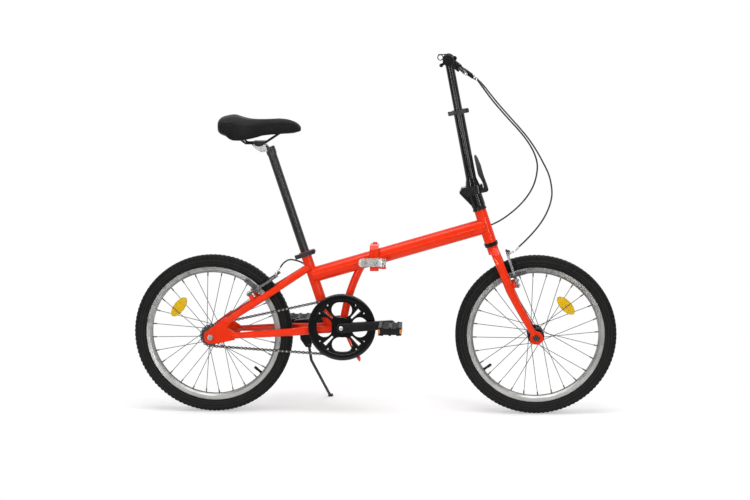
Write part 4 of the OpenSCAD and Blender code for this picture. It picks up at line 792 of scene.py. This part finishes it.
# %% Guard screws, crank rings and crank bolts
def dome(foot, axis, radius, rise, sides=24, base=0.0):
    """A domed head on a straight base: rings shrink towards the middle while they rise as part of a circle."""
    angle = np.linspace(0, np.pi / 2 * 0.94, 7)
    cap = zip(rise * np.sin(angle), radius * np.cos(angle))
    return shell(turned([(-base - 0.01, radius), *cap], foot, axis, sides))


SCREW_REACH, CRANK_END = 0.080, 0.070
screw_ways = np.radians(np.add.outer(SLOT_WAYS, [-12.5, 12.5]).ravel())
screw_feet = GUARD_FACE + SCREW_REACH * np.stack([np.cos(screw_ways), 0 * screw_ways, np.sin(screw_ways)], -1)
put("guard_screws", joined([dome(foot, (0, -1, 0), 2.6, 1.5, 12) for foot in screw_feet]), "crankset", bright_alloy)
crank_ends = [(CRANK_AXLE + [0, side * CRANK_END, 0], (0, side, 0)) for side in (-1, 1)]
ring_section = [(-0.2, 9), (1.2, 9.4), (1.2, 12), (-0.2, 13)]
put("crank_rings", joined([hoop(ring_section, foot, axis, 32) for foot, axis in crank_ends]), "crankset",
    moulded_black)
put("crank_bolts", joined([dome(foot, axis, 8.2, 1.8, 24) for foot, axis in crank_ends]), "crankset", plated_steel)

# %% [markdown]
# ## Pedals
# A pedal is a moulded cage with slats to stand on, teeth along its edges against slipping, and small orange lenses.
# They are plain blocks, so each is a box between two corners, and a bevel rounds its edges to catch the light.

# %% Pedal slats, teeth and lenses
def block(low, high):
    """A box between two corners, in millimetres."""
    (x, y, z), (far, wide, top) = low, high
    level = lambda h: [[x, y, h], [far, y, h], [far, wide, h], [x, wide, h]]
    return shell(np.array([level(z), level(top)], float) * MM)


def pedal_parts(centre, side):
    """Slats across the pedal every 8.6 mm, three teeth above and below at the inner and the outer end, and a
    lens on the front and on the back edge."""
    at = lambda low, high: block([centre[0] + low[0], min(side * low[1], side * high[1]), centre[2] + low[2]],
                                 [centre[0] + high[0], max(side * low[1], side * high[1]), centre[2] + high[2]])
    slats = [at((-26, y - 2.1, -10.2), (26, y + 2.1, 10.2)) for y in 107 + 8.6 * np.arange(9)]
    teeth = [at((x - 3.5, y, z), (x + 3.5, y + 4, z + 3.5))
             for x in (-23, 0, 23) for y in (98, 180.5) for z in (9.5, -13)]
    lenses = [at((x, 168, -6.5), (x + 6, 185.6, 6.5)) for x in (-35, 29)]
    return joined(slats + teeth), joined(lenses)


for name, centre, side in (("right", (57.594, 0, 289.569), -1), ("left", (-245.006, 0, 260.431), 1)):
    slats, lenses = pedal_parts(centre, side)
    put(f"{name}_pedal_slats", slats, f"{name}_pedal", moulded_black, 30, bevel=0.0006)
    put(f"{name}_pedal_lenses", lenses, f"{name}_pedal", orange, 30, bevel=0.0005)

# %% [markdown]
# ## Brakes
# Each brake has two arms on pins, held by plated bolts, and a bent pipe that leads the inner wire across, with a
# rubber sleeve over the wire. The pipe follows the same route as on the solid, only rounder.

# %% Brake bolts, pipes and sleeves
FORK_WAYS = np.array([[0.94943, 0, 0.31399], [0, 1, 0], [-0.31399, 0, 0.94943]])
STAY_WAYS = np.array([[-0.54024, 0, 0.84151], [0, 1, 0], [0.84151, 0, 0.54024]])
BRAKES = (("front", "fork", FRONT_AXLE, FORK_WAYS, -8,
           [[10, -42, 270.5], [23.8, -39.4, 274.1], [34.6, -38.1, 279.25]]),
          ("rear", "rear_frame", REAR_AXLE, STAY_WAYS, 42,
           [[54, -45, 274], [58, -44, 284], [61.8, -38.6, 293]]))


def dress_brake(name, holder, axle, ways, fore, bend):
    """A place is the axle plus fore, side and out times the three arrows of the fork or the stays. Bolt heads sit on
    both pins, the pipe is a tube eased through its bend, and the sleeve's radius is a cosine along it."""
    place = lambda points: axle + np.array(points, float) * MM @ ways
    arm = f"{name}_right_brake_arm"
    heads = [dome(place([fore + 10.6, y, 170]), ways[0], 5.8, 1.9, 20, base=3.3) for y in (-40, 40)]
    put(f"{name}_brake_bolts", joined(heads), holder, plated_steel)
    pipe = eased(place([[fore + 8.6, -25, 268], [fore + 8.6, -38, 268.5], *bend]), 6)
    put(f"{name}_brake_pipe", shell(swept(pipe, 3.2 * MM, 14, ways[2])), arm, bright_alloy)
    ribs = [(0, 2.2), (0.5, 3.6), *((y, 4.1 + 0.7 * math.cos(y * 1.4)) for y in np.arange(2, 34, 0.75)), (34.5, 2.6)]
    sleeve = shell(turned(ribs, place([fore + 8.6, -23.5, 268]), (0, 1, 0), 16))
    put(f"{name}_brake_sleeve", sleeve, arm, grip_rubber, 35)


for brake in BRAKES:
    dress_brake(*brake)

# %% [markdown]
# ## Grips
# The grips are soft rubber sleeves with rings to hold on by, a flange at the inner end and a domed outer end. A lathe
# shape with a wavy profile has all of that in one surface, with no joins that could show.

# %% Grips
BAR_AT = np.array([0.2287088753, 0, 1.079273006])
GRIP_START = 0.172


def grip(side):
    """Rings every 4.6 mm from a cosine, a flange by the lever and a dome at the end."""
    along = np.linspace(8, 106, 99)
    ribs = 15.0 + 0.75 * np.clip(1.6 * np.cos(2 * np.pi * along / 4.6), -1, 1)
    profile = [(0, 11.15), (0, 15.2), (0.8, 16), (4, 16), (5, 15.4), *zip(along, ribs), (107.5, 15.8), (114, 15.9),
               (116, 15.2), (117.4, 12.5), (118, 8), (118, 3)]
    return shell(turned(profile, BAR_AT + [0, side * GRIP_START, 0], (0, side, 0), 40, (0, 0, 1)))


put("grip_sleeves", joined([grip(1), grip(-1)]), "bar", grip_rubber, 35, replaces=["grips"])

# %% [markdown]
# ## Boots, collars and a wire loop
# Ribbed boots cover the screws where the cords leave the levers, with a collar at the end of each, and a small wire
# loop stands behind the right lever. The levers droop, so their places are given along the levers' own three arrows.

# %% Boots and collars at the levers
LEVER_WAYS = np.array([[0.78801, 0, -0.61566], [0, 1, 0], [0.61566, 0, 0.78801]])


def at_lever(points):
    """Places in the levers' frame, whose first arrow droops ahead of the bar, brought to the bicycle's frame."""
    return BAR_AT + np.array(points, float) * MM @ LEVER_WAYS


boot_ribs = [(0, 4.5), (0.5, 6.6),
             *((x, 5.9 - 0.02 * x + 0.6 * math.cos(x * 1.55)) for x in np.arange(1.5, 31, 0.7)), (31, 4.2)]
collar = [(30.8, 2.6), (30.8, 4.9), (35, 4.9), (35.4, 3.9), (40.5, 3.7), (41.5, 2.8)]
boots, collars = [], []
for side in (-1, 1):
    start, stop = at_lever([58, side * 113.3, 2.9]), at_lever([96, side * 107, 5])
    boots.append(shell(turned(boot_ribs, start, stop - start, 20)))
    collars.append(shell(turned(collar, start, stop - start, 16)))
put("lever_boots", joined(boots), "bar", grip_rubber, 35)
put("lever_collars", joined(collars), "bar", bright_alloy, 35)

# %% Wire loop
WIRE_R, LOOP_R, LOOP_SIDES = 1.4 * MM, 7.6, 40
ring = LOOP_R * circle(LOOP_SIDES)
loop = np.stack([205.5 + ring[:, 0], np.full(LOOP_SIDES, -150.0), 1086.6 + ring[:, 1]], -1) * MM
stalk = np.array([[199, -150, 1094.6], [212, -150, 1095.4], [226, -149, 1095.3]]) * MM
wire = [shell(swept(path, WIRE_R, 10)) for path in (np.concatenate([loop, loop[:1]]), stalk)]
ear = shell(swept(np.array([[221, -140, 1073], [208, -140, 1064]]) * MM, 4.2 * MM, 16))
knob = dome(np.array([0.208, -0.146, 1.064]), (0, -1, 0), 5.6, 2.0, 20, base=9)
put("lever_loop", joined([*wire, ear, knob]), "bar", dull_black, 35)

# %% [markdown]
# ## Saddle
# The saddle is foam under a black skin: narrow and dipped at the nose, wide and raised behind. A table of stations
# gives half width, top and bottom along its length. The stations are joined smoothly, the skin is made a little too
# small, and a short cloth run with air inside plumps it up, so that its faces belly out as a stuffed skin does.

# %% Saddle shape
RAIL_AT = np.array([-0.34188094, 0, 0.83241432])
STATIONS = np.array([[0, 11, 49, 34], [0.03, 17, 58, 32], [0.09, 22, 66, 31], [0.2, 26, 72, 30], [0.32, 29, 70, 28],
                     [0.44, 34, 69, 24], [0.54, 43, 69, 17], [0.64, 56, 71, 12], [0.74, 69, 77, 9], [0.83, 79, 84, 12],
                     [0.9, 82.5, 83, 25], [0.96, 79, 81, 31], [1, 64, 72, 36]], float)
HALF_SECTION = np.array([[0, 1.0], [0.24, 0.997], [0.45, 0.98], [0.64, 0.945], [0.78, 0.89], [0.88, 0.80], [0.94, 0.70],
                         [0.985, 0.56], [1.0, 0.42], [0.99, 0.2], [0.96, 0.06], [0.90, 0.0]])


def saddle_rings(less):
    """At each station the half section is scaled to its width and height, mirrored, and drawn in by less."""
    row = eased(STATIONS, 5)
    wide, top, low = row[:, 1:2] - less, row[:, 2:3] - less, row[:, 3:4]
    y = np.concatenate([wide * HALF_SECTION[:, 0], wide * 0.6, 0 * wide], 1)
    z = np.concatenate([low + (top - low) * HALF_SECTION[:, 1], low + 1.5, low + 2], 1)
    y, z = np.concatenate([y, -y[:, -2:0:-1]], 1), np.concatenate([z, z[:, -2:0:-1]], 1)
    x = np.broadcast_to(128 - 247 * row[:, :1], y.shape)
    return RAIL_AT + np.stack([x, y, z], -1) * MM


print("saddle rings", saddle_rings(0).shape)

# %% Saddle skin, plumped by a cloth run
VOXEL, PLUMP_FRAMES = 0.004, 20


def points_of(mesh):
    """All points of a mesh, one in each row."""
    flat = np.empty(len(mesh.vertices) * 3, np.float32)
    mesh.vertices.foreach_get("co", flat)
    return flat.reshape(-1, 3).astype(float)


def plumped(made, least, most):
    """Voxel remesh, cloth with pressure and no weight for twenty frames, then each point's move is capped. The
    underside, whose height is below least, keeps still, so that it still sits on its base."""
    draft = bpy.data.objects.new("saddle draft", mesh_of("saddle draft", made))
    scene.collection.objects.link(draft)
    grid = draft.modifiers.new("even grid", "REMESH")
    grid.mode, grid.voxel_size = "VOXEL", VOXEL
    calm = draft.modifiers.new("calm", "SMOOTH")
    calm.factor, calm.iterations = 0.5, 9
    even = bpy.data.meshes.new_from_object(draft.evaluated_get(bpy.context.evaluated_depsgraph_get()))
    draft.modifiers.clear()
    draft.data = even
    start = end = points_of(even)
    cloth = draft.modifiers.new("air", "CLOTH")
    cloth.settings.use_pressure, cloth.settings.uniform_pressure_force = True, 4.0
    cloth.settings.effector_weights.gravity, cloth.settings.quality = 0.0, 5
    for number in range(1, PLUMP_FRAMES + 1):
        scene.frame_set(number)
    after = draft.evaluated_get(bpy.context.evaluated_depsgraph_get())
    end = points_of(after.to_mesh())
    draft.modifiers.clear()
    scene.frame_set(1)
    move = end - start
    far = np.linalg.norm(move, axis=1, keepdims=True)
    held = soft_step((start[:, 2:3] - least) / 0.012)
    print("saddle points", len(start), "largest move", round(float(far.max()), 4))
    even.vertices.foreach_set("co", (start + held * move * np.minimum(1, most / np.maximum(far, 1e-9))).ravel())
    even.update()
    return draft


saddle = plumped(shell(saddle_rings(1.0)), RAIL_AT[2] + 0.020, 0.004)
saddle.name = saddle.data.name = "saddle_skin"
saddle.data.materials.clear()
saddle.data.materials.append(skin)
saddle.data.shade_smooth()
finer = saddle.modifiers.new("finer", "SUBSURF")
finer.levels = finer.render_levels = 1
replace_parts(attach(saddle, "saddle"), "saddle_cover")

# %% [markdown]
# ## Seams of the saddle
# Where two pieces of the skin are sewn, a thin bead stands up on each side of the saddle. It could be drawn on as a
# line, but it catches the light. So it is a thin tube, set down on the plumped skin by taking the mean of the nearest
# points.

# %% Seams
SEAM_R = 0.0009


def seam(name, path, radius):
    """A thin bead that follows the path, set down at the nearest points of the plumped skin."""
    skin_points = points_of(saddle.data)
    near = np.linalg.norm(skin_points[None] - path[:, None], axis=2).argsort(1)[:, :6]
    found = skin_points[near].mean(1)
    soft = np.concatenate([found[:1], (found[:-2] + 2 * found[1:-1] + found[2:]) / 4, found[-1:]])
    return put(name, shell(swept(eased(soft, 2), radius, 8, (0.1, 0.2, 1))), "saddle", skin)


rings = saddle_rings(0.5)
seam("saddle_seam_right", rings[14:58, -6], SEAM_R)
seam("saddle_seam_left", rings[14:58, 6], SEAM_R)

# %% [markdown]
# ## Latch of the frame hinge
# A plated steel strip lies across the hinge. It is rolled into an eye round its pin at one end, and bends out into a
# thumb tab with a rounded tip at the other. Seen from above it is a line with a thickness, so the outline is that
# line moved to both sides along its normal, and it is then drawn upwards.

# %% Latch strip, eye and rivets
def strip(path, half, low, high):
    """The path moved by half its thickness to either side, joined into one outline and drawn from low to high. Behind
    33 mm both edges draw in with the square of the distance, which rounds the tip."""
    path = eased(path, 4)
    way = np.gradient(path, axis=0)
    normal = np.stack([-way[:, 1], way[:, 0]], -1) / np.linalg.norm(way, axis=1, keepdims=True)
    outline = np.concatenate([path + half * normal, (path - half * normal)[::-1]])
    drawn = 7 * np.clip((-33 - outline[:, :1]) / 9, 0, 1) ** 2
    edges = [np.concatenate([outline, height], 1) for height in (low + drawn, high - drawn)]
    return shell(np.stack(edges) * MM)


latch_line = [[33, -42], [26, -40.4], [18, -38.9], [8, -38], [-8, -37.6], [-14, -37.6], [-18, -38.6], [-22, -41.4],
              [-26, -44.2], [-31, -45.7], [-36, -45.2], [-41, -43.6]]
eye = hoop([(0, 4.4), (0, 6.6), (0.4, 7), (24.6, 7), (25, 6.6), (25, 4.4)], (0.034, -0.038, 0.4595), (0, 0, 1), 40)
put("latch_strip", joined([strip(latch_line, 1.7, 459.5, 484.5), eye]), "frame_latch", plated_steel, 30, bevel=0.0006,
    replaces=["frame_latch_lever"])
rivet_places = np.array([[0.0362, -0.0446, 0.4802], [0.0316, -0.0446, 0.4706], [0.0362, -0.0446, 0.4628]])
put("latch_rivets", joined([dome(place, (0, -1, 0), 2.1, 0.8, 16) for place in rivet_places]), "frame_latch",
    moulded_black)

# %% [markdown]
# ## Stage
# The bicycle stands in a white studio. Near the tyres the floor is pale and dull, so that their soft shadow stays,
# and a little glow for the camera lifts it to white. Farther out it is plain white to the camera, like the world.
# Mirrors that face the backdrop see the same white, and those that face the camera's side see a dimmer room. All
# other light finds a grey world, so the colours come out about as written.

# %% Floor
FLOOR_HALF, FLOOR_AT = 30, -0.0006


def seen_straight(tree):
    """One for rays from the camera, also by way of a mirror or through glass, and nought for all other light."""
    seen = add(tree, "LightPath").outputs
    return sums(tree, "MAXIMUM", sums(tree, "MAXIMUM", seen["Is Camera Ray"], seen["Is Glossy Ray"]),
                seen["Is Transmission Ray"])


def studio_floor():
    """Dull white with a glow near the tyres. The distance is that of (x, 2 y) from the middle, in metres. To a mirror
    the white paper ends half a metre ahead of the bicycle, where the dim half of the room begins."""
    mesh = bpy.data.meshes.new("studio floor")
    corners = FLOOR_HALF * np.array([[-1, -1, 0], [1, -1, 0], [1, 1, 0], [-1, 1, 0]]) + [0, 0, FLOOR_AT]
    mesh.from_pydata(corners.tolist(), [], [[0, 1, 2, 3]])
    floor = bpy.data.objects.new("studio_floor", mesh)
    scene.collection.objects.link(floor)
    look = bpy.data.materials.new("studio floor")
    look.use_nodes = True
    tree = look.node_tree
    tree.nodes.remove(tree.nodes["Principled BSDF"])
    place = add(tree, "TexCoord").outputs["Object"]
    straight = seen_straight(tree)
    dull = add(tree, "BsdfDiffuse", {"Color": mottled(tree, place, 3, (0.78, 0.78, 0.78), (0.80, 0.80, 0.80))})
    glow = add(tree, "Emission", {"Strength": ranged(tree, straight, 0.0, 0.36, 0.0, 1.0)})
    near = add(tree, "AddShader", {0: dull.outputs[0], 1: glow.outputs[0]})
    ahead = ranged(tree, add(tree, "SeparateXYZ", {0: place}).outputs["Y"], 0.2, 1.0, -1.1, -0.4)
    paper = sums(tree, "MAXIMUM", add(tree, "LightPath").outputs["Is Camera Ray"], ahead)
    white = add(tree, "Emission", {"Strength": paper})
    stretched = add(tree, "VectorMath", {0: place, 1: (1, 2, 0)}, operation="MULTIPLY").outputs[0]
    away = add(tree, "VectorMath", {0: stretched}, operation="LENGTH").outputs["Value"]
    far = sums(tree, "MULTIPLY", straight, ranged(tree, away, 0.0, 1.0, 0.75, 1.4))
    both = add(tree, "MixShader", {0: far, 1: near.outputs[0], 2: white.outputs[0]})
    tree.links.new(both.outputs[0], tree.nodes["Material Output"].inputs["Surface"])
    mesh.materials.append(look)
    return floor


floor = studio_floor()
print(floor.name, "at", FLOOR_AT)

# %% World
def white_world():
    """White to the camera and to mirrors, and grey to all other light. The backdrop stands behind the bicycle, so a
    mirror that faces the other way finds the dimmer half of the room."""
    world = bpy.data.worlds.new("white studio")
    world.use_nodes = True
    tree = world.node_tree
    towards = add(tree, "SeparateXYZ", {0: add(tree, "TexCoord").outputs["Object"]}).outputs["Y"]
    straight = add(tree, "LightPath").outputs["Is Camera Ray"]
    room = sums(tree, "MAXIMUM", straight, ranged(tree, towards, 0.2, 1.0, -0.6, 0.3))
    shown = sums(tree, "MULTIPLY", seen_straight(tree), room)
    tree.links.new(sums(tree, "MAXIMUM", shown, 0.3), tree.nodes["Background"].inputs["Strength"])
    tree.nodes["Background"].inputs["Color"].default_value = (1, 1, 1, 1)
    scene.world = world
    scene.view_settings.view_transform = "Standard"


white_world()
print("world", scene.world.name)

# %% Lamps
LAMPS = (("overhead softbox", (0.0, -0.5, 3.0), (0, 0, 0.3), (3.0, 1.4), 56),
         ("left strip", (-1.9, -3.1, 1.2), (0, 0, 0.6), (0.28, 2.2), 40),
         ("right strip", (2.3, -2.7, 1.3), (0, 0, 0.6), (0.28, 2.2), 34),
         ("front strip", (0.1, -4.0, 0.62), (0, 0, 0.5), (2.6, 0.2), 15),
         ("rim softbox", (1.6, 2.6, 2.0), (0, 0, 0.6), (2.0, 1.4), 18))


def softbox(name, place, aim, size, power):
    """A flat lamp at a place, turned towards its aim with its height upright."""
    data = bpy.data.lights.new(name, "AREA")
    data.shape, data.size, data.size_y, data.energy = "RECTANGLE", *size, power
    lamp = bpy.data.objects.new(name.replace(" ", "_"), data)
    along, side, up = square_to(np.array(aim) - np.array(place), np.array([0.0, 0.001, 1.0]))
    matrix = np.eye(4)
    matrix[:3, :3] = np.stack([-side, up, -along], -1)
    matrix[:3, 3] = place
    lamp.matrix_world = matrix.T
    scene.collection.objects.link(lamp)
    return lamp


stage = [floor, *(softbox(*lamp) for lamp in LAMPS)]
print("stage", [piece.name for piece in stage])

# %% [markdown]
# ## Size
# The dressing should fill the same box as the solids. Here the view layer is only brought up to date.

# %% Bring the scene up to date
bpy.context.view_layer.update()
